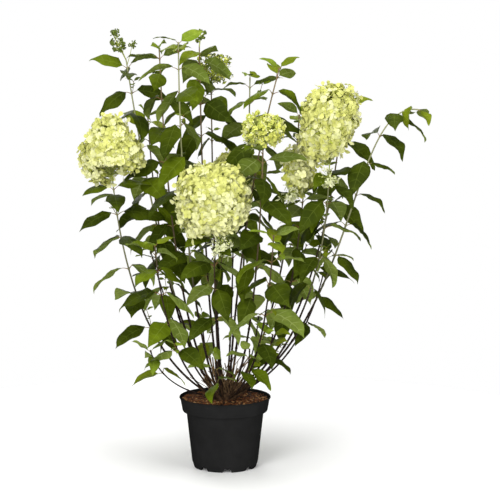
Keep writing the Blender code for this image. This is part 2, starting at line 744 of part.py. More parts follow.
def build_canes(paths, where, bark):
    """The bare boughs, and the stems that the masses grow on, by the cane's name."""
    boughs = []
    stems = {}
    for cane in CANES + SHOOTS:
        path = paths[cane.name]
        start = arm_of(cane) + GAP
        if cane in CANES:
            entry = cane.bare * path.length
            bough = limb_mesh(path, start, entry - GAP, BOUGH_STEPS, 1)
            shade_round(bough)
            boughs.append(add_object("cane_" + cane.name, bough, where, bark))
            start = entry
        steps = max(4, round((path.length - start) / STEM_STEP))
        stems[cane.name] = limb_mesh(path, start, path.length, steps, 0)
    return boughs, stems


def build_masses(paths, stems, solids, where, green):
    """A foliage mass on each stem, clear of the solids, of the other stems and of earlier masses."""
    taken = [tree_of(solid.data) for solid in solids]
    stem_trees = {name: tree_of(mesh) for name, mesh in stems.items()}
    for cane in CANES + SHOOTS:
        others = taken + [tree for name, tree in stem_trees.items() if name != cane.name]
        pieces = grow(cane, paths[cane.name], others)
        mass = united("foliage_" + cane.name, stems[cane.name], pieces, where, green)
        taken.append(tree_of(mass.data))


def main():
    clear_scene()
    plant = collection("panicle_hydrangea")
    cutters = collection("cutters")
    cutters.hide_render = True

    plastic = material("moulded_black_plastic", "2B2B2B", 0.55)
    mix = material("potting_mix", "4A3220", 0.95)
    old_wood = material("old_wood", "4A3A2A", 0.85)
    bark = material("cane_bark", "3A2A26", 0.70)
    leaf_green = material("leaf_green", "4E6E1C", 0.55)
    cream = material("lime_cream_petals", "DBDB8C", 0.65)
    bud_green = material("green_buds", "8C9E3C", 0.65)

    build_pot(plant, cutters, plastic)
    build_soil(plant, mix)
    every = CANES + SHOOTS
    paths = {cane.name: Path(handles(cane), girth_of(cane), CANE_TIP_RADIUS) for cane in every}
    solids = [build_crown([(paths[cane.name], arm_of(cane)) for cane in every], plant, old_wood)]
    for bloom in BLOOMS:
        petals = bud_green if bloom.name.startswith("buds") else cream
        solids.append(build_bloom(bloom, paths[bloom.cane], plant, petals))
    boughs, stems = build_canes(paths, plant, bark)
    build_masses(paths, stems, solids + boughs, plant, leaf_green)


main()
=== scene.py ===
"""Looks of a panicle hydrangea in its nursery pot, dressed over its solids.

The canes, twigs and leaves grow by the same rule as the solids, in the same places, and go on to
finer twigs. Flower heads are florets of four sepals on slender stalks, in shells round an axis.
Metres, +Z up, with the origin in the middle of the pot's underside.
"""

import json
import math
import random
from collections import namedtuple

import bmesh
import bpy
import numpy as np
from mathutils import Matrix, Quaternion, Vector, noise
from mathutils.bvhtree import BVHTree

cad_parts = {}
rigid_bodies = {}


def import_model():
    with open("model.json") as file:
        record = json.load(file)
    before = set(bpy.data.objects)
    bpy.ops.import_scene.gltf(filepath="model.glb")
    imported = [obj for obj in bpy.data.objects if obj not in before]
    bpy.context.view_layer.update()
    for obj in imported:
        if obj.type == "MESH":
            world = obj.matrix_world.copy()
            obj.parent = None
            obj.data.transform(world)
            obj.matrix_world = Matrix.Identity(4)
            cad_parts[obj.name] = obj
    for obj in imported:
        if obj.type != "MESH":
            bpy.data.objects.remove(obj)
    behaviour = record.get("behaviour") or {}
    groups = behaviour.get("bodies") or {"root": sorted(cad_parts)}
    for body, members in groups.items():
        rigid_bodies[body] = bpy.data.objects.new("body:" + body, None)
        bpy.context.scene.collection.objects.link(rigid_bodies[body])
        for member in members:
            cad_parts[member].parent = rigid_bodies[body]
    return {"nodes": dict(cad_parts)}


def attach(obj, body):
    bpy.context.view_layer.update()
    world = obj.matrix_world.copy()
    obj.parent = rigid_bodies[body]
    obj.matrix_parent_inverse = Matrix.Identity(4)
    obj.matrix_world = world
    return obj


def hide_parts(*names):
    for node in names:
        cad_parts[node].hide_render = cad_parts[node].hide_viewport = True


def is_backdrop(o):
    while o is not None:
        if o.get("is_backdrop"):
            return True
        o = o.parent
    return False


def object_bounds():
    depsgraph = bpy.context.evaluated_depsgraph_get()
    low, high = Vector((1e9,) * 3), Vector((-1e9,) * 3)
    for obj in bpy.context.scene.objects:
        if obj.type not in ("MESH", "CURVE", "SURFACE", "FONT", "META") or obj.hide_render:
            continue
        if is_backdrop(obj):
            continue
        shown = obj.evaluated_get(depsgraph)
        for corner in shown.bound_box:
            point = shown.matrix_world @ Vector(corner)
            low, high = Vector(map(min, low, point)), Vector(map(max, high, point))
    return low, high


for startup in list(bpy.data.objects):
    bpy.data.objects.remove(startup)
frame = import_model()
cad_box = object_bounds()

# Camera, as the photograph was taken: from a little above the middle and a long way off
VIEW_TARGET = Vector((0.063, 0.0, 0.552))
VIEW_DISTANCE = 6.0
VIEW_ELEVATION = math.radians(8.5)
VIEW_WIDTH = 1.25
SENSOR = 36.0

# Pot
POT_HEIGHT = 0.180
LIP_RADIUS = 0.1152
LIP_HEIGHT = 0.0035
COLLAR_TOP_RADIUS = 0.1130
COLLAR_FOOT_RADIUS = 0.1077
COLLAR_HEIGHT = 0.037
COLLAR_ROUND = 0.004
BODY_TOP_RADIUS = 0.0975
BODY_FOOT_RADIUS = 0.0834
BEVEL_HEIGHT = 0.016
FOOT_RADIUS = 0.0787
FOOT_RING = 0.0043
POT_FOLD = 40  # degrees past which the pot's edges stay crisp
EDGE_ROUND = 0.0008
WALL = 0.0018
FLOOR_RISE = 0.0075
PAD_RADIUS = 0.020
NOTCHES = 8
NOTCH_WIDTH = 0.026
NOTCH_TOP_WIDTH = 0.015
NOTCH_HEIGHT = 0.0095
NOTCH_ROUND = 0.0022
NOTCH_TURN = 4  # degrees
NOTCH_PAST = 0.006  # how far a notch's cutter goes past the foot outside
NOTCH_INSIDE = 0.016  # and inside it
NOTCH_UNDER = 0.004  # and under it
POT_STEPS = 144

# Potting mix
SOIL_LEVEL = 0.1705
SOIL_MOUND = 0.0045
SOIL_SLOPE_RADIUS = 0.075
SOIL_TOP_RADIUS = 0.036
SOIL_RIM = 0.25  # share of the mound that is left at the pot's wall
SOIL_STEPS, SOIL_RINGS = 96, 26
SOIL_ROUGH = (-0.0016, 0.0004)
SOIL_SKIN = 0.001  # how near its level the surface is
SOIL_SEED = 5
CRUMB_EDGE = 0.001  # how far the crumbs stay off the wall
CRUMB_RISE = 0.0004
CRUMB_SLOPE = 0.034
CHIP_KINDS = 6
GAP = 0.0003

# Woody crown
GROUND = SOIL_LEVEL + SOIL_MOUND
STUMP_TOP_RADIUS = 0.020
STUMP_HEIGHT = 0.022
OLD_STUBS = 5
STUB_RADIUS = 0.0042
STUB_LENGTH = 0.030
STUB_STEPS = 8
STUB_TURN, STUB_SPREAD = 20, 12  # degrees round the crown
STUB_TILTS = (12, 30)
STUB_LENGTHS = (0.8, 1.2)
STUB_FOOT = 0.4  # share of the stump's top radius
STUB_SWELL, STUB_TAPER = 1.1, 0.16
ARM_SWELL = 1.3
ARM_TAPER = 0.15
ARM_STEPS = 12
ARM_LAP = 0.004
CROWN_SEED = 71
# Knots of the stump: a share of its height, and its radius there
KNOTS = ((0.0, 0.030), (0.3, 0.0291), (0.6, 0.0258), (0.85, 0.021), (1.0, 0.014))

# Dead twiglets round the crown: each range is from the least to the most. Tilts are in degrees.
TWIGLETS = 64
TWIGLET_STEPS = 6
TWIGLET_TILTS = (8, 62)
TWIGLET_FEET = (0.004, 0.024)
TWIGLET_HEIGHTS = (0.004, 0.016)
TWIGLET_LENGTHS = (0.030, 0.095)
TWIGLET_RADII = (0.0008, 0.0026)
TWIGLET_BENDS = (-0.6, 0.6)
TWIGLET_LIFT, TWIGLET_TAPER = 0.12, 0.3

# Canes: the short ones are the thinnest, and leave the crown the soonest
LOWEST_TIP, TALL_TIP, TOP_TIP = 0.30, 0.75, 1.05
THIN_GIRTH, FULL_GIRTH = 0.0019, 0.0030
SHORT_ARM, LONG_ARM = 0.040, 0.062
FOOT_RISE = 0.004
CANE_TIP_RADIUS = 0.0016
PATH_STEPS = 60
TANGENT_STEP = 0.004
STEM_STEP = 0.100
BARK_STEP = 0.004
NODE_SWELL = 0.38
NODE_SPREAD = 0.0026
NODE_REACH = 0.010

# Leaves: a blade's own measures are shares of its length, other lengths are in metres, and
# angles in degrees
LEAF_WIDTH = 0.62
LEAF_SHOULDER = 0.46
LEAF_RIDGE = 0.020
LEAF_ARCH = 17
PETIOLE = 0.17
PETIOLE_RISE, YOUNG_RISE, RISE_SPREAD = 30, 28, 10
ROOT_DEPTH = 0.0010
STEM_LEAN = 0.45
YOUNG_SHRINK, LOW_SHRINK = 0.48, 0.10
SIZE_RANGE = (0.90, 1.12)
DROOP, LOW_DROOP, YOUNG_LIFT, DROOP_SPREAD = 30, 10, 50, 20
ROLL_SPREAD = 44
TURN_SPREAD = 18
SWINGS = (0, 25, -25, 50, -50, 80, -80)
SWING_DROOP = 0.15
LONGEST_INTERNODE = 0.080
FIRST_INTERNODE = 0.022
INTERNODE_GROWTH = 0.019
BARE_COLLAR = 0.012
TIP_INSET = {"leaves": 0.006, "bloom": 0.022}
CLEARANCE = 0.0012
LEAF_GROUND = GROUND + 0.012
BLADE_INSET = 0.45  # leaves of one mass may lie in each other nearer to their roots than this

# A blade's fine shape, in shares of its length. How far it nods each way is in degrees.
VEIN_PAIRS = 5
BLADE_WIDTH = 0.53
LEAF_COLUMNS = (-1.0, -0.52, 0.0, 0.52, 1.0)
LEAF_KINDS = 12
BLADE_THICKNESS = 0.005
KEEL = 0.013
BLADE_NOD = (7, 14, 7)
BLADE_WIDTHS = (0.88, 1.08)
ROW_GATHER = 1.12
RIM_LEAD, RIM_CURVE = 0.36, 1.2  # how far a row's rim is ahead of its middle, and how it gets there
TIP_START = 0.6
QUILT, QUILT_ROUND = 0.007, 0.3
RIM_WAVES = 13

# Side twigs. Their turns round the stem are in degrees.
TWIG_RADIUS = 0.0014
TWIG_TAPER = 0.8
TWIG_LENGTH = 0.105
TWIG_LENGTHS = (0.85, 1.15)
TWIG_TURN, TWIG_STEP, TWIG_SPREAD = 45, 140, 25
TWIG_LEAF = 0.82
TWIG_LOW_PAIR = 0.45
TWIG_FREE = 2  # a twig has to be clear of things this many girths away from its stem
TWIG_ROOM = 2.0
TWIG_BENDS = ((0.80, 0.60, 0.35), (0.45, 0.90, 0.35), (0.20, 1.00, 0.30))

# Finer twigs in the axils, with small leaves
FINE_RADIUS = 0.0009
FINE_LENGTH = 0.046
FINE_LENGTHS = (0.6, 1.5)
FINE_LEAF = 0.040
FINE_TIP_INSET = 0.003
FINE_LOW_PAIR = 0.55
FINE_SHARE = 0.42
FINE_SEED = 500

# Flower heads: the bare neck under one, and the turn from each floret to the next
BLOOM_NECK = 0.012
GOLDEN_TURN = math.radians(137.5)

Cane = namedtuple("Cane", "name tip habit ring bare turn leaf twigs ending seed")
Bloom = namedtuple("Bloom", "name cane lean length radius belly fullness seed")
Leaf = namedtuple("Leaf", "root petiole heading angle roll length")
Grown = namedtuple("Grown", "leaf young fine cane")

# Handles of a cane's curve, as shares of its reach and its rise
HABITS = {
    "bowed": ((0.50, 0.11), (0.88, 0.44)),
    "leaning": ((0.36, 0.13), (0.70, 0.47)),
    "upright": ((0.42, 0.10), (0.98, 0.42)),
    "late": ((0.12, 0.33), (0.45, 0.70)),
    "arching": ((0.68, 0.26), (0.62, 1.05)),
}

# name, tip (m), habit, distance of the foot from the axis (m), bare share, turn of the first
# leaf pair (deg), leaf length (m), side twigs, what ends it, seed
CANES = (
    Cane("left_outer", (-0.277, -0.030, 0.728), "bowed", 0.024, 0.34, 20, 0.112, 0, "bloom", 3),
    Cane("left_tall", (-0.246, 0.060, 1.022), "leaning", 0.022, 0.40, 10, 0.106, 1, "bloom", 5),
    Cane("left_inner", (-0.162, 0.020, 1.055), "bowed", 0.016, 0.36, 75, 0.110, 1, "leaves", 7),
    Cane("mid_left", (-0.112, -0.060, 1.075), "upright", 0.014, 0.34, 30, 0.114, 1, "leaves", 9),
    Cane("mid_back", (-0.064, 0.090, 1.052), "bowed", 0.012, 0.34, 50, 0.108, 1, "bloom", 11),
    Cane("front_centre", (-0.026, -0.120, 0.613), "bowed", 0.018, 0.38, 35, 0.104, 1, "bloom", 13),
    Cane("back_centre", (0.063, 0.120, 0.975), "bowed", 0.014, 0.34, 65, 0.112, 1, "leaves", 15),
    Cane("mid_right", (0.136, -0.030, 1.010), "late", 0.010, 0.36, 20, 0.112, 1, "leaves", 17),
    Cane("right_bloom", (0.258, -0.050, 0.757), "upright", 0.026, 0.44, 40, 0.106, 0, "bloom", 19),
    Cane("right_arch", (0.484, 0.000, 0.903), "arching", 0.024, 0.46, 30, 0.104, 0, "leaves", 21),
    Cane("right_back", (0.300, 0.110, 0.930), "bowed", 0.022, 0.40, 80, 0.104, 1, "leaves", 23),
    Cane("right_inner", (0.196, 0.010, 0.690), "bowed", 0.016, 0.38, 30, 0.106, 1, "bloom", 25),
    Cane("front_right", (0.095, -0.120, 0.826), "bowed", 0.016, 0.36, 70, 0.110, 1, "bloom", 27),
    Cane("back_mid", (-0.036, 0.185, 0.950), "bowed", 0.018, 0.36, 25, 0.108, 1, "bloom", 29),
    Cane("back_left", (-0.200, 0.220, 0.870), "bowed", 0.024, 0.38, 55, 0.110, 1, "leaves", 31),
    Cane("back_right", (0.190, 0.240, 0.870), "bowed", 0.024, 0.38, 15, 0.110, 1, "leaves", 33),
)

# Shorter shoots are one mass each, from the crown to the tip
SHOOTS = (
    Cane("back_low", (0.020, 0.300, 0.630), "bowed", 0.026, 0.34, 45, 0.108, 0, "bloom", 41),
    Cane("front_left", (-0.168, -0.175, 0.590), "bowed", 0.024, 0.34, 60, 0.112, 0, "leaves", 43),
    Cane("front_side", (0.120, -0.215, 0.620), "bowed", 0.024, 0.34, 20, 0.116, 0, "leaves", 45),
    Cane("right_low", (0.262, 0.115, 0.540), "bowed", 0.024, 0.52, 75, 0.096, 0, "leaves", 47),
    Cane("left_low", (-0.190, 0.090, 0.540), "leaning", 0.020, 0.36, 35, 0.094, 0, "leaves", 49),
    Cane("base_left", (-0.185, -0.065, 0.310), "bowed", 0.022, 0.42, 15, 0.092, 0, "leaves", 51),
    Cane("base_front", (-0.022, -0.140, 0.300), "upright", 0.022, 0.48, 80, 0.096, 0, "leaves", 53),
    Cane("base_front_right", (0.062, -0.125, 0.325), "upright", 0.022, 0.46, 50, 0.098, 0, "leaves", 55),
    Cane("base_right", (0.120, -0.035, 0.345), "bowed", 0.022, 0.46, 25, 0.092, 0, "leaves", 57),
    Cane("base_back", (-0.060, 0.150, 0.350), "bowed", 0.023, 0.44, 70, 0.092, 0, "leaves", 59),
    Cane("base_back_right", (0.085, 0.140, 0.360), "bowed", 0.023, 0.44, 20, 0.092, 0, "leaves", 61),
)

# name, the cane that bears it, how far its top leans over (m in x, y), length (m), radius (m),
# how high its widest part is, how square its sides are, seed
BLOOMS = (
    Bloom("panicle_left", "left_outer", (-0.006, -0.020), 0.164, 0.075, 0.30, 1.5, 101),
    Bloom("panicle_centre", "front_centre", (-0.003, -0.050), 0.162, 0.087, 0.48, 3.0, 103),
    Bloom("panicle_right", "right_bloom", (0.016, -0.020), 0.208, 0.067, 0.60, 2.3, 105),
    Bloom("panicle_young", "front_right", (0.004, -0.020), 0.064, 0.046, 0.45, 2.5, 107),
    Bloom("panicle_inner", "right_inner", (-0.020, -0.015), 0.105, 0.034, 0.45, 2.0, 109),
    Bloom("panicle_back", "back_low", (0.004, 0.030), 0.130, 0.060, 0.36, 2.0, 111),
    Bloom("buds_left", "left_tall", (-0.036, 0.000), 0.070, 0.020, 0.50, 2.5, 113),
    Bloom("buds_mid", "mid_back", (0.004, 0.005), 0.034, 0.011, 0.45, 2.0, 115),
    Bloom("buds_back", "back_mid", (0.010, 0.000), 0.068, 0.040, 0.45, 2.5, 117),
)

UP = Vector((0.0, 0.0, 1.0))
ALL_CANES = CANES + SHOOTS
LEAF_MASSES = tuple("foliage_" + cane.name for cane in ALL_CANES)
SHEET_FOLD = 100  # degrees: a fold sharper than this is the rim of a thin sheet


# Making nodes, objects and meshes


def linear(hex_colour):
    """Linear RGBA of an sRGB hex colour."""
    channels = [int(hex_colour[i : i + 2], 16) / 255 for i in (0, 2, 4)]
    return [c / 12.92 if c <= 0.04045 else ((c + 0.055) / 1.055) ** 2.4 for c in channels] + [1.0]


def wire(tree, node, links):
    """A node's inputs, each from a value, a socket, or a node whose first live output it takes."""
    for key, value in links.items():
        if isinstance(value, bpy.types.Node):
            value = next(socket for socket in value.outputs if socket.enabled)
        if isinstance(value, bpy.types.NodeSocket):
            tree.links.new(value, node.inputs[key])
        else:
            node.inputs[key].default_value = value


def add(tree, kind, links=None, **settings):
    """A node in a tree, with its settings and inputs."""
    node = tree.nodes.new(kind)
    for key, value in settings.items():
        setattr(node, key, value)
    wire(tree, node, links or {})
    return node


def new_tree(name, inputs):
    """A geometry tree that takes a geometry and the named inputs, and its input sockets."""
    tree = bpy.data.node_groups.new(name, "GeometryNodeTree")
    tree.interface.new_socket("Geometry", in_out="INPUT", socket_type="NodeSocketGeometry")
    for socket, kind in inputs.items():
        tree.interface.new_socket(socket, in_out="INPUT", socket_type="NodeSocket" + kind)
    tree.interface.new_socket("Geometry", in_out="OUTPUT", socket_type="NodeSocketGeometry")
    return tree, add(tree, "NodeGroupInput").outputs


def add_object(name, data, where=None):
    made = bpy.data.objects.new(name, data)
    (where or bpy.context.scene.collection).objects.link(made)
    return made


def mesh_of(name, bm):
    """A mesh of what was modelled, which is then freed."""
    mesh = bpy.data.meshes.new(name)
    bm.to_mesh(mesh)
    bm.free()
    return mesh


def evaluated_mesh(thing):
    bpy.context.view_layer.update()
    graph = bpy.context.evaluated_depsgraph_get()
    return bpy.data.meshes.new_from_object(thing.evaluated_get(graph))


def attribute(mesh, name, kind, values, field="value", domain="POINT"):
    mesh.attributes.new(name, kind, domain).data.foreach_set(field, np.array(values).ravel())


def grown(name, tree, base, **inputs):
    """The mesh that a geometry tree makes of a base mesh."""
    holder = add_object(name, base)
    modifier = holder.modifiers.new("tree", "NODES")
    modifier.node_group = tree
    for item in tree.interface.items_tree:
        if item.in_out == "INPUT" and item.name in inputs:
            modifier[item.identifier] = inputs[item.name]
    mesh = evaluated_mesh(holder)
    bpy.data.objects.remove(holder)
    mesh.name = name
    mesh.shade_smooth()
    mesh.set_sharp_from_angle(angle=math.radians(SHEET_FOLD))
    return mesh


def piece(name, mesh, slot, *nodes):
    """A finished piece of the plant or pot, which stands for the solids named."""
    made = add_object(name, mesh)
    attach(made, "root")
    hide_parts(*nodes)
    return made


# Paths of the canes


def growth(cane, low, high, full_height):
    """A size that grows with the height of a cane's tip."""
    share = (cane.tip[2] - LOWEST_TIP) / (full_height - LOWEST_TIP)
    return low + (high - low) * min(1.0, share)


def girth_of(cane):
    return growth(cane, THIN_GIRTH, FULL_GIRTH, TALL_TIP)


def arm_of(cane):
    return growth(cane, SHORT_ARM, LONG_ARM, TOP_TIP)


def handles(cane):
    """The four points of a cane's curve, from its foot in the crown to its tip."""
    tip = Vector(cane.tip)
    out = Vector((tip.x, tip.y, 0.0)).normalized()
    foot = out * cane.ring + UP * (GROUND + FOOT_RISE)
    reach = (tip - foot).dot(out)
    rise = tip.z - foot.z
    inner = [foot + out * reach * across + UP * (rise * up) for across, up in HABITS[cane.habit]]
    return foot, *inner, tip


class Path:
    """A limb's centre line and taper, read by the distance along it."""

    def __init__(self, curve, girth, tip_radius):
        a, b, c, d = curve
        self.points = []
        for i in range(PATH_STEPS + 1):
            t = i / PATH_STEPS
            outer = a * (1 - t) ** 3 + d * t**3
            self.points.append(outer + b * 3 * t * (1 - t) ** 2 + c * 3 * t * t * (1 - t))
        self.reached = [0.0]
        for p, q in zip(self.points, self.points[1:]):
            self.reached.append(self.reached[-1] + (q - p).length)
        self.length = self.reached[-1]
        self.girth = girth
        self.tip_radius = tip_radius

    def at(self, s):
        s = min(max(s, 0.0), self.length)
        i = 1
        while i < PATH_STEPS and self.reached[i] < s:
            i += 1
        share = (s - self.reached[i - 1]) / (self.reached[i] - self.reached[i - 1])
        return self.points[i - 1].lerp(self.points[i], share)

    def along(self, s):
        return (self.at(s + TANGENT_STEP) - self.at(s - TANGENT_STEP)).normalized()

    def radius(self, s):
        return self.girth + (self.tip_radius - self.girth) * s / self.length


def evenly(start, end, steps):
    """Distances from one to another in equal steps."""
    return [start + (end - start) * i / steps for i in range(steps + 1)]


# Where leaves and twigs grow


def level(way):
    """The level direction at an angle round the plant's axis."""
    return Vector((math.cos(way), math.sin(way), 0.0))


def side_frame(direction):
    """Two directions across a stem, the first as near the viewer's right as it can be."""
    almost_sideways = 0.9
    u = Vector((1.0, 0.0, 0.0)) if abs(direction.x) < almost_sideways else Vector((0.0, 1.0, 0.0))
    u = (u - direction * u.dot(direction)).normalized()
    return u, direction.cross(u).normalized()


def sideways(direction, way):
    """The direction across a stem at an angle from its first side."""
    u, v = side_frame(direction)
    return u * math.cos(way) + v * math.sin(way)


def sloped(leaf, angle):
    """A leaf's heading, raised by an angle."""
    return leaf.heading * math.cos(angle) + UP * math.sin(angle)


def blade_base(leaf):
    return leaf.root + leaf.petiole * PETIOLE * leaf.length


def leaf_points(leaf, extra=0.0):
    """Root, left, right, ridge and tip of a leaf, grown by some extra on all sides."""
    arch = math.radians(LEAF_ARCH)
    near = sloped(leaf, leaf.angle + arch)
    far = sloped(leaf, leaf.angle - arch)
    middle = blade_base(leaf) + near * LEAF_SHOULDER * leaf.length
    tip = middle + far * ((1 - LEAF_SHOULDER) * leaf.length + extra)
    side = Matrix.Rotation(leaf.roll, 3, near) @ leaf.heading.cross(UP)
    normal = side.cross(near).normalized()
    half = side * (LEAF_WIDTH * leaf.length / 2 + extra)
    low = middle - normal * extra
    ridge = middle + normal * (LEAF_RIDGE * leaf.length + extra)
    return leaf.root - leaf.petiole * (ROOT_DEPTH + extra), low - half, low + half, ridge, tip


def pair_stations(path, start, ending):
    """Distances along a stem of its leaf pairs, from the tip down, closer together at the tip."""
    s = path.length - TIP_INSET[ending]
    stations = []
    while s > start + BARE_COLLAR:
        stations.append(s)
        s -= min(LONGEST_INTERNODE, FIRST_INTERNODE + INTERNODE_GROWTH * (len(stations) - 1))
    return stations


def youth(count, ending):
    """1 in a leafy tip's first pair and 0 in grown leaves. A stem that flowers starts half grown."""
    first, pairs = (1.0, 3) if ending == "leaves" else (0.5, 4)
    return max(0.0, first - count / pairs)


def leaf_choices(root, direction, way, size, young, low, dice):
    """One leaf of the rule, with the other ways it can swing to find room."""
    length = size * (1.0 - YOUNG_SHRINK * young) * (1.0 - LOW_SHRINK * low) * dice.uniform(*SIZE_RANGE)
    rise = math.radians(PETIOLE_RISE + YOUNG_RISE * young + RISE_SPREAD * dice.uniform(-1, 1))
    lift = YOUNG_LIFT * young * max(0.0, direction.z)
    angle = math.radians(lift - DROOP - LOW_DROOP * low + DROOP_SPREAD * dice.uniform(-1, 1))
    roll = math.radians(ROLL_SPREAD * dice.uniform(-1, 1))
    side = sideways(direction, way)
    petiole = (side * math.cos(rise) + direction * math.sin(rise)).normalized()
    flat = side + direction * STEM_LEAN
    heading = Vector((flat.x, flat.y, 0.0)).normalized()
    choices = []
    for swing in map(math.radians, SWINGS):
        swung = Matrix.Rotation(swing, 3, "Z") @ heading
        choices.append(Leaf(root, petiole, swung, angle - abs(swing) * SWING_DROOP, roll, length))
    return choices


def leaves_of(path, stations, size, turn, ending, dice):
    """Every leaf that the rule puts on a stem, in opposite pairs that turn a quarter at each node."""
    found = []
    for count, s in enumerate(stations):
        low = count / max(1, len(stations) - 1)
        for half_turn in (0, 180):
            way = math.radians(turn + 90 * count + half_turn + TURN_SPREAD * dice.uniform(-1, 1))
            young = youth(count, ending)
            found.append(leaf_choices(path.at(s), path.along(s), way, size, young, low, dice))
    return found


def bent_twig(path, s, way, length, radius):
    """A twig that leaves a stem sideways at a distance along it, and bends up along it."""
    direction = path.along(s)
    side = sideways(direction, way)
    curve = [path.at(s)]
    for across, on, share in TWIG_BENDS:
        curve.append(curve[-1] + (side * across + direction * on).normalized() * length * share)
    return Path(curve, radius, radius * TWIG_TAPER)


def twigs_of(path, stations, cane, dice):
    """Short side twigs from the axils of the lower leaf pairs."""
    made = []
    for i in range(cane.twigs):
        way = math.radians(cane.turn + TWIG_TURN + TWIG_STEP * i + TWIG_SPREAD * dice.uniform(-1, 1))
        length = TWIG_LENGTH * dice.uniform(*TWIG_LENGTHS)
        made.append(bent_twig(path, stations[-2 - 2 * i], way, length, TWIG_RADIUS))
    return made


def tree_of(mesh):
    points = [v.co.copy() for v in mesh.vertices]
    return BVHTree.FromPolygons(points, [tuple(p.vertices) for p in mesh.polygons])


def limb_tree(path, start, steps, swell=1.0):
    """A limb from a distance along it to its tip, four-sided, to tell what touches it."""
    points, faces = [], []
    for i, s in enumerate(evenly(start, path.length, steps)):
        u, v = side_frame(path.along(s))
        reach = path.radius(s) * swell
        points += [path.at(s) + way * reach for way in (u, v, -u, -v)]
        if i:
            low, high = 4 * i - 4, 4 * i
            faces += [(low + j, low + (j + 1) % 4, high + (j + 1) % 4, high + j) for j in range(4)]
    return BVHTree.FromPolygons(points, faces)


def whole_tree(leaf):
    """A leaf's blade and petiole, to tell whether it touches anything."""
    root, left, right, ridge, tip = leaf_points(leaf, CLEARANCE)
    rim = ((0, 1), (1, 2), (2, 0))
    faces = [(a, b, end) for a, b in rim for end in (3, 4)]
    return BVHTree.FromPolygons([left, right, ridge, tip, root], faces)


def blade_tree(leaf):
    """The outer part of a leaf, to tell whether leaves of one mass lie in each other."""
    root, left, right, ridge, tip = leaf_points(leaf, CLEARANCE)
    inset = [root.lerp(point, BLADE_INSET) for point in (left, right, ridge)]
    points = [*inset, left, right, ridge, tip]
    faces = [(0, 1, 4, 3), (1, 2, 5, 4), (2, 0, 3, 5), (3, 4, 6), (4, 5, 6), (5, 3, 6)]
    return BVHTree.FromPolygons(points, faces)


def clear_of(tree, others):
    return not any(tree.overlap(other) for other in others)


def settle(found, ending, fine, cane, others, own):
    """The leaves that find room, each swung the first way in which it is clear of everything."""
    leaves = []
    for number, choices in enumerate(found):
        for leaf in choices:
            above = fine or leaf_points(leaf)[-1].z > LEAF_GROUND
            if above and clear_of(whole_tree(leaf), others) and clear_of(blade_tree(leaf), own):
                own.append(blade_tree(leaf))
                leaves.append(Grown(leaf, youth(number // 2, ending), fine, cane.name))
                break
    return leaves


def grow(cane, path, others):
    """The leaf pairs' stations, and the twigs and leaves of one mass that find room."""
    dice = random.Random(cane.seed)
    stations = pair_stations(path, cane.bare * path.length, cane.ending)
    stems = [(path, stations, cane.leaf, cane.turn, cane.ending)]
    own, twigs, leaves = [], [], []
    for twig in twigs_of(path, stations, cane, dice):
        wide = limb_tree(twig, TWIG_FREE * girth_of(cane), 2, TWIG_ROOM)
        if clear_of(wide, others):
            own.append(wide)
            twigs.append(twig)
            places = (twig.length - TIP_INSET["leaves"], twig.length * TWIG_LOW_PAIR)
            stems.append((twig, places, cane.leaf * TWIG_LEAF, 0, "leaves"))
    for stem, places, size, turn, ending in stems:
        found = leaves_of(stem, places, size, turn, ending, dice)
        leaves += settle(found, ending, False, cane, others, own)
    return stations, twigs, leaves, own


def grow_fine(cane, path, stations, others, own):
    """Finer twigs from the axils, each with a few small leaves, where there is still room."""
    dice = random.Random(cane.seed + FINE_SEED)
    twigs, leaves = [], []
    for s in stations[2:]:
        if dice.random() > FINE_SHARE:
            continue
        way = math.radians(dice.uniform(0, 360))
        twig = bent_twig(path, s, way, FINE_LENGTH * dice.uniform(*FINE_LENGTHS), FINE_RADIUS)
        wide = limb_tree(twig, TWIG_FREE * girth_of(cane), 2, TWIG_ROOM)
        if clear_of(wide, others + own):
            twigs.append(twig)
            places = (twig.length - FINE_TIP_INSET, twig.length * FINE_LOW_PAIR)
            found = leaves_of(twig, places, FINE_LEAF, way, "leaves", dice)
            leaves += settle(found, "leaves", True, cane, others, own)
    return twigs, leaves


def stem_tree(cane, path):
    """The stem that a mass grows on, to keep other masses off it."""
    start = cane.bare * path.length if cane in CANES else arm_of(cane) + GAP
    return limb_tree(path, start, max(4, round((path.length - start) / STEM_STEP)))


def grow_plant(paths):
    """All stations, twigs and leaves, by the same rule and in the same order as the solids."""
    nodes = frame["nodes"]
    solids = ["woody_crown", *(bloom.name for bloom in BLOOMS), *("cane_" + cane.name for cane in CANES)]
    fixed = [tree_of(nodes[name].data) for name in solids]
    masses = {cane.name: tree_of(nodes["foliage_" + cane.name].data) for cane in ALL_CANES}
    stems = {cane.name: stem_tree(cane, paths[cane.name]) for cane in ALL_CANES}
    stations, own_trees, earlier = {}, {}, []
    twigs, fine_twigs, leaves = [], [], []
    for cane in ALL_CANES:
        name = cane.name
        others = fixed + earlier + [tree for other, tree in stems.items() if other != name]
        stations[name], side_twigs, found, own_trees[name] = grow(cane, paths[name], others)
        twigs += side_twigs
        leaves += found
        earlier.append(masses[name])
    for cane in ALL_CANES:
        name = cane.name
        others = fixed + [tree for other, tree in masses.items() if other != name]
        more, found = grow_fine(cane, paths[name], stations[name], others, own_trees[name])
        fine_twigs += more
        leaves += found
    return stations, twigs, fine_twigs, leaves


# Thin sheets: leaf blades and sepals


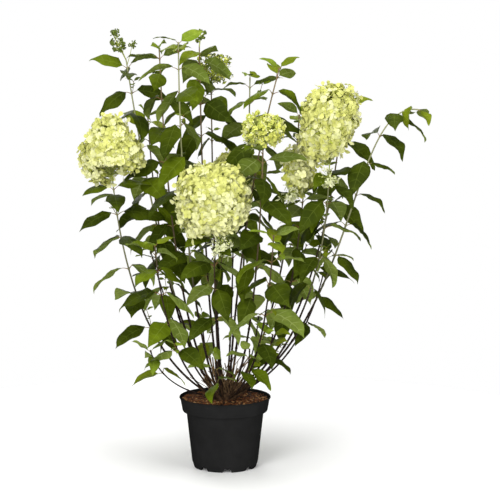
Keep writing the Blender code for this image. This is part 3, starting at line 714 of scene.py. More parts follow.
def thin_sheet(name, rows, columns, place):
    """A closed sheet on a grid whose first and last rows are a point each. place(i, j, back) gives
    each point, and the two faces share their rim."""
    points = []
    found = {}

    def index(i, j, back):
        if i in (0, rows):
            j = 0
        if i in (0, rows) or j in (0, columns):
            back = False
        if (i, j, back) not in found:
            found[(i, j, back)] = len(points)
            points.append(place(i, j, back))
        return found[(i, j, back)]

    faces, uvs, backs = [], [], []
    for back in (False, True):
        for i in range(rows):
            for j in range(columns):
                corners = [(i, j), (i, j + 1), (i + 1, j + 1), (i + 1, j)]
                if back:  # the other way round, and split along the same diagonal
                    corners = [corners[0], corners[3], corners[2], corners[1]]
                face, face_uvs = [], []
                for row, column in corners:
                    number = index(row, column, back)
                    if number not in face:
                        face.append(number)
                        face_uvs.append((column / columns, row / rows))
                faces.append(face)
                uvs += face_uvs
                backs.append(back)
    mesh = bpy.data.meshes.new(name)
    mesh.from_pydata(points, [], faces)
    mesh.uv_layers.new(name="UVMap").data.foreach_set("uv", np.array(uvs, np.float32).ravel())
    attribute(mesh, "underside", "BOOLEAN", backs, domain="FACE")
    return mesh


def blade_half_width(t):
    """Half width of a blade at a share of its length: widest before its middle, drawn out to a point."""
    rise, fall = 0.72, 1.24
    peak = rise / (rise + fall)
    return BLADE_WIDTH / 2 * (t / peak) ** rise * ((1 - t) / (1 - peak)) ** fall


def blade_shape(name, dice):
    """An ovate blade of unit length along +Y, facing +Z, with its base at the origin. Its rows
    follow the side veins, so that the veins lie sunk between raised strips."""
    slope_start = math.radians(19 * dice.uniform(0.7, 1.3))
    slope_fall = math.radians(42 * dice.uniform(0.7, 1.3))
    tip_fall = math.radians(dice.uniform(-8, 34))
    fold = math.tan(math.radians(dice.uniform(4, 30)))
    curl = dice.uniform(0.4, 2.0)
    twist = math.radians(dice.uniform(-30, 30))
    sway = dice.uniform(-0.09, 0.09)
    wave, phase = dice.uniform(0.010, 0.034), dice.uniform(0, 6.3)
    rows = 2 * VEIN_PAIRS
    steps = 200
    spine = [Vector((0, 0, 0))]
    slopes = []
    for k in range(steps + 1):
        y = k / steps
        nod = (max(0.0, y - TIP_START) / (1 - TIP_START)) ** 2
        slope = slope_start - slope_fall * y - tip_fall * nod
        slopes.append(slope)
        spine.append(spine[-1] + Vector((0.0, math.cos(slope), math.sin(slope))) / steps)

    def bent(x, y, z):
        k = min(steps, round(y * steps))
        turned = Matrix.Rotation(twist * y, 3, "Y") @ Vector((x, 0.0, z))
        normal = Vector((0.0, -math.sin(slopes[k]), math.cos(slopes[k])))
        return spine[k] + Vector((turned.x + sway * y * y, 0.0, 0.0)) + normal * turned.z

    def place(i, j, back):
        u = LEAF_COLUMNS[j]
        t = (i / rows) ** ROW_GATHER
        rim_y = t + RIM_LEAD * (1 - t) * math.sqrt(t)
        x = u * blade_half_width(rim_y)
        y = t + (rim_y - t) * abs(u) ** RIM_CURVE
        quilt = (QUILT if i % 2 else -QUILT) * (1 - abs(u)) ** QUILT_ROUND * (1 if 0 < i < rows else 0)
        z = fold * abs(x) - curl * x * x + quilt
        z += wave * math.sin(RIM_WAVES * y + phase) * u**2 * math.copysign(1, u)
        if back:
            z -= KEEL * (1 - t) + BLADE_THICKNESS if u == 0 else BLADE_THICKNESS
        return bent(x, y, z)

    return thin_sheet(name, rows, len(LEAF_COLUMNS) - 1, place)


# Sepals, in shares of a floret's reach: half widths along one, where it starts, how far one pair
# lies over the other, how thick one is, and its waves
SEPAL_ROWS = ((0.0, 0.0), (0.24, 0.30), (0.56, 0.53), (0.87, 0.36), (1.0, 0.0))
SEPAL_ROOT, SEPAL_LAP, SEPAL_THICKNESS = 0.04, 0.07, 0.035
SEPAL_WAVE, WAVES_ALONG, WAVES_ACROSS = 0.05, 7, 5
CROSS_CUP = 0.9
FULL_FLORETS, NARROW_FLORETS = 6, 3
NARROW = 0.55


def floret_shape(name, dice, narrow=1.0):
    """Four rounded sepals in a cross, of unit reach, facing +Z. One pair overlaps the other."""
    merged = bmesh.new()
    for quarter in range(4):
        reach, width = dice.uniform(0.86, 1.08), dice.uniform(0.92, 1.15) * narrow
        cup = dice.uniform(-0.25, 0.75)
        slope = math.tan(math.radians(dice.uniform(-14, 58)))
        skew = dice.uniform(-0.15, 0.15)
        lift = SEPAL_LAP if quarter % 2 else 0.0
        turn = Matrix.Rotation(math.pi / 2 * quarter + skew, 3, "Z")

        def place(i, j, back):
            along, half = SEPAL_ROWS[i]
            u = j - 1
            x = u * half * width
            y = SEPAL_ROOT + along * reach
            wave = SEPAL_WAVE * math.sin(WAVES_ALONG * y + WAVES_ACROSS * u)
            z = lift + y * slope - cup * y * y + cup * CROSS_CUP * x * x + wave
            return turn @ Vector((x, y, z - (SEPAL_THICKNESS if back else 0.0)))

        sepal = thin_sheet("sepal", len(SEPAL_ROWS) - 1, 2, place)
        merged.from_mesh(sepal)
        bpy.data.meshes.remove(sepal)
    return mesh_of(name, merged)


def bud_shape(name):
    """A small round bud of unit radius, with a slight point."""
    bm = bmesh.new()
    bmesh.ops.create_uvsphere(bm, u_segments=6, v_segments=4, radius=1.0)
    point, foot = 1.25, 0.9
    for vertex in bm.verts:
        vertex.co.z *= point if vertex.co.z > 0 else foot
    # Blender's sphere has its faces in another order each run, so they are sorted by their corners
    bm.verts.index_update()
    bm.faces.sort(key=lambda face: face.verts[0].index * len(bm.verts) + face.verts[1].index)
    return mesh_of(name, bm)


def chip_shape(name, dice):
    """A splintery crumb of bark, about one unit long."""
    corner, shake, taper = 0.16, 0.07, 0.35
    bm = bmesh.new()
    bmesh.ops.create_cube(bm, size=1.0)
    bmesh.ops.bevel(bm, geom=bm.edges, offset=corner, segments=1, affect="EDGES")
    wide, thick = dice.uniform(0.35, 0.75), dice.uniform(0.16, 0.40)
    for vertex in bm.verts:
        shaken = Vector([dice.uniform(-1, 1) for axis in "xyz"]) * shake
        narrowed = vertex.co.y * wide * (1 - taper * vertex.co.x)
        vertex.co = Vector((vertex.co.x, narrowed, vertex.co.z * thick)) + shaken
    return mesh_of(name, bm)


def shape_collection(name, meshes):
    """Shapes to be placed, in a collection that is not in the scene."""
    made = bpy.data.collections.new(name)
    for mesh in meshes:
        mesh.shade_smooth()
        made.objects.link(bpy.data.objects.new(mesh.name, mesh))
    return made


# Geometry trees


def finished(tree, geometry, finish):
    """What a tree has made, as plain geometry in its finish."""
    real = add(tree, "GeometryNodeRealizeInstances", {"Geometry": geometry})
    return add(tree, "GeometryNodeSetMaterial", {"Geometry": real, "Material": finish})


def on_points(tree, points, shapes, kind, turn, size):
    """A shape of a collection on each point."""
    picked = {"Collection": shapes, "Separate Children": True, "Reset Children": True}
    spread = {
        "Points": points,
        "Instance": add(tree, "GeometryNodeCollectionInfo", picked),
        "Pick Instance": True,
        "Instance Index": kind,
        "Rotation": turn,
        "Scale": size,
    }
    return add(tree, "GeometryNodeInstanceOnPoints", spread)


def limbs_tree():
    """Round limbs along a line drawing whose points carry their thickness, with a bark's relief that
    is drawn out along the height."""
    sockets = {"Sides": "Int", "Relief": "Float", "Grain": "Float", "Bark": "Material"}
    tree, given = new_tree("tapering_limbs", sockets)
    line = add(tree, "GeometryNodeMeshToCurve", {"Mesh": given["Geometry"]})
    thickness = add(tree, "GeometryNodeInputNamedAttribute", {"Name": "thickness"}, data_type="FLOAT")
    ring = add(tree, "GeometryNodeCurvePrimitiveCircle", {"Resolution": given["Sides"], "Radius": 1.0})
    swept = {"Curve": line, "Profile Curve": ring, "Fill Caps": True, "Scale": thickness}
    tube = add(tree, "GeometryNodeCurveToMesh", swept)
    where = {0: add(tree, "GeometryNodeInputPosition"), 1: (1.0, 1.0, 0.4)}
    stretched = add(tree, "ShaderNodeVectorMath", where, operation="MULTIPLY")
    pattern = {"Vector": stretched, "Scale": given["Grain"], "Detail": 2.0}
    grain = add(tree, "ShaderNodeTexNoise", pattern)
    centred = add(tree, "ShaderNodeMath", {0: grain, 1: 0.5}, operation="SUBTRACT")
    depth = add(tree, "ShaderNodeMath", {0: centred, 1: given["Relief"]}, operation="MULTIPLY")
    scaled = add(tree, "ShaderNodeMath", {0: depth, 1: thickness}, operation="MULTIPLY")
    outward = {0: add(tree, "GeometryNodeInputNormal"), "Scale": scaled}
    offset = add(tree, "ShaderNodeVectorMath", outward, operation="SCALE")
    rough = add(tree, "GeometryNodeSetPosition", {"Geometry": tube, "Offset": offset})
    add(tree, "NodeGroupOutput", {"Geometry": finished(tree, rough, given["Bark"])})
    return tree


def placed_tree():
    """A shape from a collection on each point, by the point's kind, turn and size."""
    sockets = {"Shapes": "Collection", "Face": "Material", "Back": "Material"}
    tree, given = new_tree("shapes_in_place", sockets)
    read = (("kind", "INT"), ("turn", "QUATERNION"), ("size", "FLOAT_VECTOR"), ("underside", "BOOLEAN"))
    kind, turn, size, underside = (
        add(tree, "GeometryNodeInputNamedAttribute", {"Name": name}, data_type=data) for name, data in read
    )
    spread = on_points(tree, given["Geometry"], given["Shapes"], kind, turn, size)
    backed = {
        "Geometry": finished(tree, spread, given["Face"]),
        "Selection": underside,
        "Material": given["Back"],
    }
    add(tree, "NodeGroupOutput", {"Geometry": add(tree, "GeometryNodeSetMaterial", backed)})
    return tree


def crumbs_tree():
    """Crumbs strewn over a surface, each turned and sized by chance."""
    sockets = {"Chips": "Collection", "Finish": "Material", "Seed": "Int"}
    sockets |= {"Density": "Float", "Smallest": "Float", "Largest": "Float"}
    tree, given = new_tree("strewn_crumbs", sockets)
    seed = given["Seed"]
    strewn = {"Mesh": given["Geometry"], "Density": given["Density"], "Seed": seed}
    points = add(tree, "GeometryNodeDistributePointsOnFaces", strewn)
    kind, turn, size = (
        add(tree, "FunctionNodeRandomValue", {low: least, high: most, "Seed": seed}, data_type=data)
        for data, low, high, least, most in (
            ("INT", 4, 5, 0, CHIP_KINDS - 1),
            ("FLOAT_VECTOR", 0, 1, (-0.5, -0.5, 0.0), (0.5, 0.5, 6.283)),
            ("FLOAT", 2, 3, given["Smallest"], given["Largest"]),
        )
    )
    spread = on_points(tree, points, given["Chips"], kind, turn, size)
    add(tree, "NodeGroupOutput", {"Geometry": finished(tree, spread, given["Finish"])})
    return tree


def line_drawing(name, lines):
    """A mesh of loose lines. Each line is a list of (point, radius)."""
    points, edges, radii = [], [], []
    for line in lines:
        first = len(points)
        points += [tuple(point) for point, radius in line]
        radii += [radius for point, radius in line]
        edges += [(first + i, first + i + 1) for i in range(len(line) - 1)]
    mesh = bpy.data.meshes.new(name)
    mesh.from_pydata(points, edges, [])
    attribute(mesh, "thickness", "FLOAT", radii)
    return mesh


def placings(name, spots):
    """A mesh of points. Each spot is (point, turn, size, kind)."""
    points, turns, sizes, kinds = zip(*spots)
    mesh = bpy.data.meshes.new(name)
    mesh.from_pydata([tuple(point) for point in points], [], [])
    attribute(mesh, "turn", "QUATERNION", [tuple(turn) for turn in turns])
    attribute(mesh, "size", "FLOAT_VECTOR", sizes, "vector")
    attribute(mesh, "kind", "INT", kinds)
    return mesh


Kit = namedtuple("Kit", "limbs placed shapes finishes")


def limb_piece(kit, name, lines, slot, nodes, finish, sides, relief=0.0, grain=100.0):
    """A piece of round limbs, with a relief in shares of their thickness and its grain per metre."""
    given = {"Sides": sides, "Relief": relief, "Grain": grain, "Bark": kit.finishes[finish]}
    piece(name, grown(name, kit.limbs, line_drawing(name, lines), **given), slot, *nodes)


def placed_piece(kit, name, spots, slot, nodes, shapes, face, back=None):
    """A piece of shapes that are each put in their spot, with one finish or another behind."""
    finishes = {"Face": kit.finishes[face], "Back": kit.finishes[back or face]}
    mesh = grown(name, kit.placed, placings(name, spots), Shapes=kit.shapes[shapes], **finishes)
    piece(name, mesh, slot, *nodes)


# Finishes


def new_material(name, colour, roughness, specular):
    """A Principled material with its constants on the shader's own sockets, its tree and its shader."""
    made = bpy.data.materials.new(name)
    made.use_nodes = True
    shader = made.node_tree.nodes["Principled BSDF"]
    constants = {"Base Color": linear(colour), "Roughness": roughness, "Specular IOR Level": specular}
    wire(made.node_tree, shader, constants)
    made.diffuse_color = linear(colour)
    return made, made.node_tree, shader


def per_metre(millimetres):
    """Scale of a pattern in Object coordinates whose patches are so wide."""
    return 1000.0 / millimetres


def patchy(tree, place, colour, other, width, detail, low, high, most=1.0):
    """Patches of two colours, of a width in mm, where a soft noise goes from low to high."""
    pattern = {"Vector": place, "Scale": per_metre(width), "Detail": detail}
    patches = add(tree, "ShaderNodeTexNoise", pattern)
    share = add(tree, "ShaderNodeMapRange", {0: patches, 1: low, 2: high, 3: 0.0, 4: most})
    both = {0: share, 6: linear(colour), 7: linear(other)}  # a colour mix takes its colours at 6 and 7
    return add(tree, "ShaderNodeMix", both, data_type="RGBA")


def cover(tree, shader, colour, heights, strength, relief):
    """A shader's colour, and a relief in mm from a pattern of heights."""
    raised = {"Height": heights, "Strength": strength, "Distance": relief / 1000}
    wire(tree, shader, {"Base Color": colour, "Normal": add(tree, "ShaderNodeBump", raised)})


def mottled(name, colour, other, patch, grain, relief, strength, sheen):
    """A finish that wanders between two colours over patches of a width, with a relief of a grain,
    all in millimetres. A sheen is a roughness and a specular level."""
    made, tree, shader = new_material(name, colour, *sheen)
    place = add(tree, "ShaderNodeTexCoord").outputs["Object"]
    colours = patchy(tree, place, colour, other, patch, 4.0, 0.35, 0.65)
    fine = {"Vector": place, "Scale": per_metre(grain), "Detail": 3.0}
    cover(tree, shader, colours, add(tree, "ShaderNodeTexNoise", fine), strength, relief)
    return made


# Patterns of a leaf, in mm: sprays differ from one another, and a blade is mottled. The net of
# small veins is 1.5 apart on a real leaf, too fine to show here, and is drawn coarser.
LEAF_PATCH, LEAF_MOTTLE = 75.0, 17.0
VEIN_NET, QUILT_RELIEF = 3.6, 0.5


def leaf_finish(name, colour, other, vein_colour, vein_share, sheen):
    """Living leaf: satin, mottled between two greens, with paler veins that run out from the midrib
    as the blade's rows do, and a net of small veins between them."""
    made, tree, shader = new_material(name, colour, *sheen)
    split = add(tree, "ShaderNodeSeparateXYZ", {0: add(tree, "ShaderNodeUVMap", uv_map="UVMap")})
    off_middle = add(tree, "ShaderNodeMath", {0: split, 1: 0.5}, operation="SUBTRACT")
    from_rib = add(tree, "ShaderNodeMath", {0: off_middle}, operation="ABSOLUTE")
    rib = add(tree, "ShaderNodeMapRange", {0: from_rib, 1: 0.0, 2: 0.03, 3: 1.0, 4: 0.0})
    rows = {0: split.outputs["Y"], 1: 2 * math.pi * VEIN_PAIRS}
    along = add(tree, "ShaderNodeMath", rows, operation="MULTIPLY")
    swing = add(tree, "ShaderNodeMath", {0: along}, operation="COSINE")
    stripe = add(tree, "ShaderNodeMapRange", {0: swing, 1: 0.9, 2: 1.0, 3: 0.0, 4: 0.5})
    inside = add(tree, "ShaderNodeMapRange", {0: from_rib, 1: 0.24, 2: 0.44, 3: 1.0, 4: 0.0})
    side_vein = add(tree, "ShaderNodeMath", {0: stripe, 1: inside}, operation="MULTIPLY")
    veins = add(tree, "ShaderNodeMath", {0: rib, 1: side_vein}, operation="MAXIMUM")
    amount = add(tree, "ShaderNodeMath", {0: veins, 1: vein_share}, operation="MULTIPLY")
    place = add(tree, "ShaderNodeTexCoord").outputs["Object"]
    green = patchy(tree, place, colour, other, LEAF_PATCH, 1.0, 0.4, 0.6)
    spots = {"Vector": place, "Scale": per_metre(LEAF_MOTTLE), "Detail": 3.0}
    mottle = add(tree, "ShaderNodeTexNoise", spots)
    shade = add(tree, "ShaderNodeMapRange", {0: mottle, 1: 0.3, 2: 0.7, 3: 0.80, 4: 1.15})
    tint = add(tree, "ShaderNodeVectorMath", {0: green, "Scale": shade}, operation="SCALE")
    cells = {"Vector": place, "Scale": per_metre(VEIN_NET)}
    net = add(tree, "ShaderNodeTexVoronoi", cells, feature="DISTANCE_TO_EDGE")
    plump = add(tree, "ShaderNodeMapRange", {0: net, 1: 0.0, 2: 0.25, 3: 0.0, 4: 1.0})
    veined = add(tree, "ShaderNodeMix", {0: amount, 6: tint, 7: linear(vein_colour)}, data_type="RGBA")
    cover(tree, shader, veined, plump, 0.35, QUILT_RELIEF)
    return made


# Patterns of young bark, in mm: how far its paling wanders, and its pores
BARK_WANDER = 110.0
PORE_SPACING, PORE_RELIEF = 3.8, 0.3


def cane_finish(name, low_colour, high_colour, low, high, pore_colour, sheen):
    """Hydrangea bark: it pales from one height to another, and is dotted with small pale pores."""
    made, tree, shader = new_material(name, low_colour, *sheen)
    place = add(tree, "ShaderNodeTexCoord").outputs["Object"]
    pattern = {"Vector": place, "Scale": per_metre(BARK_WANDER), "Detail": 2.0}
    wander = {0: add(tree, "ShaderNodeTexNoise", pattern), 1: 0.35, 2: -0.175}
    spread = add(tree, "ShaderNodeMath", wander, operation="MULTIPLY_ADD")
    level_up = {0: add(tree, "ShaderNodeSeparateXYZ", {0: place}).outputs["Z"], 1: spread}
    height = add(tree, "ShaderNodeMath", level_up, operation="ADD")
    age = add(tree, "ShaderNodeMapRange", {0: height, 1: low, 2: high, 3: 0.0, 4: 1.0})
    paling = {0: age, 6: linear(low_colour), 7: linear(high_colour)}
    bark = add(tree, "ShaderNodeMix", paling, data_type="RGBA")
    pores = add(tree, "ShaderNodeTexVoronoi", {"Vector": place, "Scale": per_metre(PORE_SPACING)})
    dots = add(tree, "ShaderNodeMapRange", {0: pores, 1: 0.14, 2: 0.26, 3: 0.35, 4: 0.0})
    dotted = add(tree, "ShaderNodeMix", {0: dots, 6: bark, 7: linear(pore_colour)}, data_type="RGBA")
    cover(tree, shader, dotted, dots, 0.5, PORE_RELIEF)
    return made


BLUSH = 18.0  # width in mm of the greener patches on the sepals
LIGHT_THROUGH = 0.28  # share of the light on a sepal that goes through each of its faces


def sepal_finish(name, colour, deep_colour):
    """Papery sepal: matt and thin enough that light comes through it, greener in patches."""
    made, tree, shader = new_material(name, colour, 0.75, 0.05)
    place = add(tree, "ShaderNodeTexCoord").outputs["Object"]
    greens = patchy(tree, place, colour, deep_colour, BLUSH, 2.0, 0.40, 0.68, 0.7)
    wire(tree, shader, {"Base Color": greens})
    through = add(tree, "ShaderNodeBsdfTranslucent", {"Color": greens})
    thin = add(tree, "ShaderNodeMixShader", {0: LIGHT_THROUGH, 1: shader, 2: through})
    wire(tree, tree.nodes["Material Output"], {"Surface": thin})
    return made


# Sheens: roughness and specular level
MATT, WAXY, SATIN = (0.9, 0.1), (0.5, 0.1), (0.5, 0.03)


def make_finishes():
    """Every finish, by what it is on. Patterns and reliefs are in millimetres."""
    return {
        # Black polypropylene, moulded: dull, with no specular shine. Its cloudy sheen where the mould has
        # worn is painted as patches of a slightly lighter black
        "pot": mottled("moulded_polypropylene", "1C1C1C", "1F1F1F", 33.0, 5.5, 0.3, 0.15, (0.6, 0.0)),
        # Peat with composted bark: damp and dark brown, open and crumbly, without any shine
        "mix": mottled("peat_and_bark", "2A1C11", "44301E", 6.0, 1.0, 2.0, 1.0, MATT),
        # Chipped bark on top of it, from wet and nearly black to split, dry and tan
        "crumb_dark": mottled("wet_chipped_bark", "241710", "362418", 3.3, 0.6, 1.0, 0.6, (0.85, 0.15)),
        "crumb_brown": mottled("damp_chipped_bark", "52301A", "70482A", 3.3, 0.6, 1.0, 0.6, MATT),
        "crumb_russet": mottled("russet_chipped_bark", "74442A", "56301C", 3.3, 0.6, 1.0, 0.6, MATT),
        "crumb_pale": mottled("split_chipped_bark", "AC845A", "8C6640", 3.3, 0.6, 1.0, 0.6, MATT),
        # Hydrangea wood of many years: brown bark that peels in flakes a fingernail wide
        "old_wood": mottled("flaking_old_bark", "4C3826", "1E150E", 9.0, 1.5, 1.2, 0.9, MATT),
        # Twiglets that died back: dry bark, weathered to tan
        "dead_twig": mottled("weathered_dead_bark", "7A6246", "40301F", 8.0, 1.4, 0.6, 0.6, MATT),
        # Ripe cane: thin bark, nearly black with a purple-brown cast, and smooth between its pores. As
        # the stem gets younger it pales to tan, and on some canes to grey-green
        "cane_brown": cane_finish(
            "purple_brown_bark", "1C110D", "7A6A4C", 0.40, 0.90, "6E5C4C", (0.65, 0.12)
        ),
        "cane_green": cane_finish("grey_green_bark", "21160F", "8C8E66", 0.40, 0.76, "8C8468", (0.6, 0.1)),
        # Soft stems: living skin, a little waxy, green with a flush of red or brown in the sun
        "green_twig": mottled("green_twig_skin", "6F7A34", "7A5A3C", 12.0, 2.0, 0.3, 0.2, WAXY),
        "petiole": mottled("flushed_petiole_skin", "7C7A3A", "7A4638", 45.0, 7.5, 0.3, 0.15, WAXY),
        "flower_stalk": mottled("flower_stalk_skin", "AEB85E", "98A04E", 17.0, 2.8, 0.3, 0.1, WAXY),
        # Living leaf: satin, from deep green to yellow-green at the tips. The deep green inside the plant
        # and on shaded canes is partly painted shade
        "leaf_deep": leaf_finish("deep_hydrangea_leaf", "2F3A08", "3E4A0A", "606E2A", 0.5, SATIN),
        "leaf_mid": leaf_finish("mid_hydrangea_leaf", "48560A", "57660E", "748432", 0.5, SATIN),
        "leaf_fresh": leaf_finish("fresh_hydrangea_leaf", "606E10", "6E7A18", "8A9842", 0.4, SATIN),
        "leaf_young": leaf_finish("young_hydrangea_leaf", "667A1C", "748628", "98A650", 0.4, SATIN),
        # Its underside: duller and greyer, with pale veins that stand out
        "leaf_underside": leaf_finish(
            "hydrangea_leaf_underside", "64742C", "728036", "98A460", 0.9, (0.7, 0.05)
        ),
        # Papery sepals: no shine, and light comes through them, so that the shade between them is green
        "sepal_cream": sepal_finish("cream_papery_sepal", "F0F0BE", "E0E292"),
        "sepal_soft": sepal_finish("soft_lime_papery_sepal", "DEDF8C", "CBCD6A"),
        # Lime: the inner florets' own greener tone, and partly painted shade, being darker so that gaps
        # between outer florets look shaded
        "sepal_lime": sepal_finish("lime_papery_sepal", "BAC44C", "9CA83A"),
        "sepal_young": sepal_finish("young_lime_papery_sepal", "E2E47C", "CCD058"),
        "sepal_white": sepal_finish("white_papery_sepal", "ECEEC8", "DCE2A4"),
        # Buds and eyes of florets: tight beads, smooth and slightly waxy
        "bud_lime": mottled("waxy_lime_eye", "C2CC66", "A9B84E", 5.0, 0.8, 0.3, 0.1, WAXY),
        "bud_green": mottled("waxy_green_bud", "667430", "4A5820", 6.0, 1.0, 0.3, 0.1, WAXY),
    }


# Pot and potting mix


COLLAR_FOOT = POT_HEIGHT - COLLAR_HEIGHT
FLOOR_TOP = FLOOR_RISE + WALL


def inner_radius(height):
    """The pot's inner wall below the collar, at a height."""
    share = (height - BEVEL_HEIGHT) / (COLLAR_FOOT - BEVEL_HEIGHT)
    if share < 0:
        return FOOT_RADIUS + (BODY_FOOT_RADIUS - FOOT_RADIUS) * height / BEVEL_HEIGHT - WALL
    return BODY_FOOT_RADIUS + (BODY_TOP_RADIUS - BODY_FOOT_RADIUS) * share - WALL


def arc(centre, radius, start, end, steps):
    """Points on an arc of a turned outline, from one angle to another in degrees."""
    angles = [math.radians(angle) for angle in evenly(start, end, steps)]
    return [(centre[0] + radius * math.cos(a), centre[1] + radius * math.sin(a)) for a in angles]


def pot_outline():
    """The pot's wall from the middle of its floor, up its inside, over the lip and down to the pad."""
    under_lip = POT_HEIGHT - LIP_HEIGHT
    lip_centre = (LIP_RADIUS - 2 * EDGE_ROUND, POT_HEIGHT - 2 * EDGE_ROUND)
    collar_centre = (COLLAR_FOOT_RADIUS - COLLAR_ROUND, COLLAR_FOOT + COLLAR_ROUND)
    return [
        (0.0, FLOOR_TOP),
        (inner_radius(FLOOR_TOP), FLOOR_TOP),
        (inner_radius(BEVEL_HEIGHT), BEVEL_HEIGHT),
        (BODY_TOP_RADIUS - WALL, COLLAR_FOOT + WALL),
        (COLLAR_FOOT_RADIUS - WALL, COLLAR_FOOT + 2 * WALL),
        (COLLAR_TOP_RADIUS - WALL, POT_HEIGHT - EDGE_ROUND),
        (COLLAR_TOP_RADIUS - WALL + EDGE_ROUND, POT_HEIGHT),
        *arc(lip_centre, 2 * EDGE_ROUND, 90, 0, 5),
        (LIP_RADIUS, under_lip + EDGE_ROUND / 2),
        (LIP_RADIUS - EDGE_ROUND, under_lip),
        (COLLAR_TOP_RADIUS, under_lip - EDGE_ROUND),
        *arc(collar_centre, COLLAR_ROUND, 0, -90, 6),
        (BODY_TOP_RADIUS + EDGE_ROUND, COLLAR_FOOT),
        (BODY_TOP_RADIUS, COLLAR_FOOT - EDGE_ROUND),
        (BODY_FOOT_RADIUS + EDGE_ROUND / 4, BEVEL_HEIGHT + EDGE_ROUND),
        (BODY_FOOT_RADIUS - EDGE_ROUND / 4, BEVEL_HEIGHT - EDGE_ROUND),
        (FOOT_RADIUS + EDGE_ROUND / 2, 3 * EDGE_ROUND),
        (FOOT_RADIUS, 2 * EDGE_ROUND),
        *arc((FOOT_RADIUS - EDGE_ROUND, EDGE_ROUND), EDGE_ROUND, 0, -90, 3),
        (FOOT_RADIUS - FOOT_RING, 0.0),
        (FOOT_RADIUS - FOOT_RING, FLOOR_RISE),
        (PAD_RADIUS, FLOOR_RISE),
        (PAD_RADIUS, 0.0),
        (0.0, 0.0),
    ]


def notch_cutter(number, where):
    """One trapezoid gap in the foot, with its upper corners rounded."""
    bm = bmesh.new()
    bmesh.ops.create_cube(bm, size=1.0)
    for vertex in bm.verts:
        top = vertex.co.z > 0
        vertex.co = (
            BODY_FOOT_RADIUS + NOTCH_PAST if vertex.co.x > 0 else FOOT_RADIUS - NOTCH_INSIDE,
            math.copysign(NOTCH_TOP_WIDTH if top else NOTCH_WIDTH, vertex.co.y) / 2,
            NOTCH_HEIGHT if top else -NOTCH_UNDER,
        )
    corners = []
    for edge in bm.edges:
        start, end = (vertex.co for vertex in edge.verts)
        if min(start.z, end.z) > 0 and abs(start.x - end.x) > NOTCH_PAST:
            corners.append(edge)
    bmesh.ops.bevel(bm, geom=corners, offset=NOTCH_ROUND, segments=3, affect="EDGES")
    turn = math.radians(360 / NOTCHES * number - 90 + NOTCH_TURN)
    bmesh.ops.rotate(bm, verts=bm.verts, matrix=Matrix.Rotation(turn, 3, "Z"))
    add_object("notch", mesh_of("notch", bm), where)


def turned(name, outline, steps):
    """An object turned from an outline of (radius, height)."""
    profile = bpy.data.meshes.new(name)
    edges = [(i, i + 1) for i in range(len(outline) - 1)]
    profile.from_pydata([(radius, 0.0, height) for radius, height in outline], edges, [])
    body = add_object(name, profile)
    screw = body.modifiers.new("turn", "SCREW")
    screw.steps = screw.render_steps = steps
    screw.use_merge_vertices = True
    screw.merge_threshold = 1e-6
    screw.use_normal_calculate = True
    return body


def coated(mesh, finish):
    """A smooth mesh in one finish."""
    mesh.materials.clear()
    mesh.materials.append(finish)
    mesh.shade_smooth()
    return mesh


def make_pot(kit):
    body = turned("pot_wall", pot_outline(), POT_STEPS)
    cutters = bpy.data.collections.new("notches")
    bpy.context.scene.collection.children.link(cutters)
    for number in range(NOTCHES):
        notch_cutter(number, cutters)
    cut = body.modifiers.new("notches", "BOOLEAN")
    cut.operation = "DIFFERENCE"
    cut.operand_type = "COLLECTION"
    cut.collection = cutters
    cut.solver = "EXACT"
    mesh = coated(evaluated_mesh(body), kit.finishes["pot"])
    for thing in [body, *cutters.objects]:
        bpy.data.objects.remove(thing)
    bpy.data.collections.remove(cutters)
    mesh.set_sharp_from_angle(angle=math.radians(POT_FOLD))
    piece("nursery_pot", mesh, "moulded_plastic", "pot")


def soil_height(radius):
    """The surface of the potting mix, a little higher round the crown."""
    slope = min(1.0, max(0.0, (SOIL_SLOPE_RADIUS - radius) / (SOIL_SLOPE_RADIUS - SOIL_TOP_RADIUS)))
    return SOIL_LEVEL + SOIL_MOUND * (SOIL_RIM + (1 - SOIL_RIM) * slope)


def soil_outline():
    floor_top = FLOOR_TOP + GAP
    share = (SOIL_LEVEL - COLLAR_FOOT) / COLLAR_HEIGHT
    edge = COLLAR_FOOT_RADIUS + (COLLAR_TOP_RADIUS - COLLAR_FOOT_RADIUS) * share - WALL - GAP
    return [
        *((radius, soil_height(radius)) for radius in evenly(0.0, edge, SOIL_RINGS)),
        (COLLAR_FOOT_RADIUS - WALL - GAP, COLLAR_FOOT + 2 * WALL + GAP),
        (BODY_TOP_RADIUS - WALL - 2 * GAP, COLLAR_FOOT + WALL),
        (inner_radius(BEVEL_HEIGHT) - 2 * GAP, BEVEL_HEIGHT),
        (inner_radius(floor_top) - 2 * GAP, floor_top),
        (0.0, floor_top),
    ]


# Bark crumbs: how many to the square metre, and the smallest and largest (m)
CRUMBS = {
    "dark": (50000.0, 0.0030, 0.0110),
    "brown": (26000.0, 0.0030, 0.0130),
    "russet": (14000.0, 0.0030, 0.0120),
    "pale": (15000.0, 0.0030, 0.0110),
}


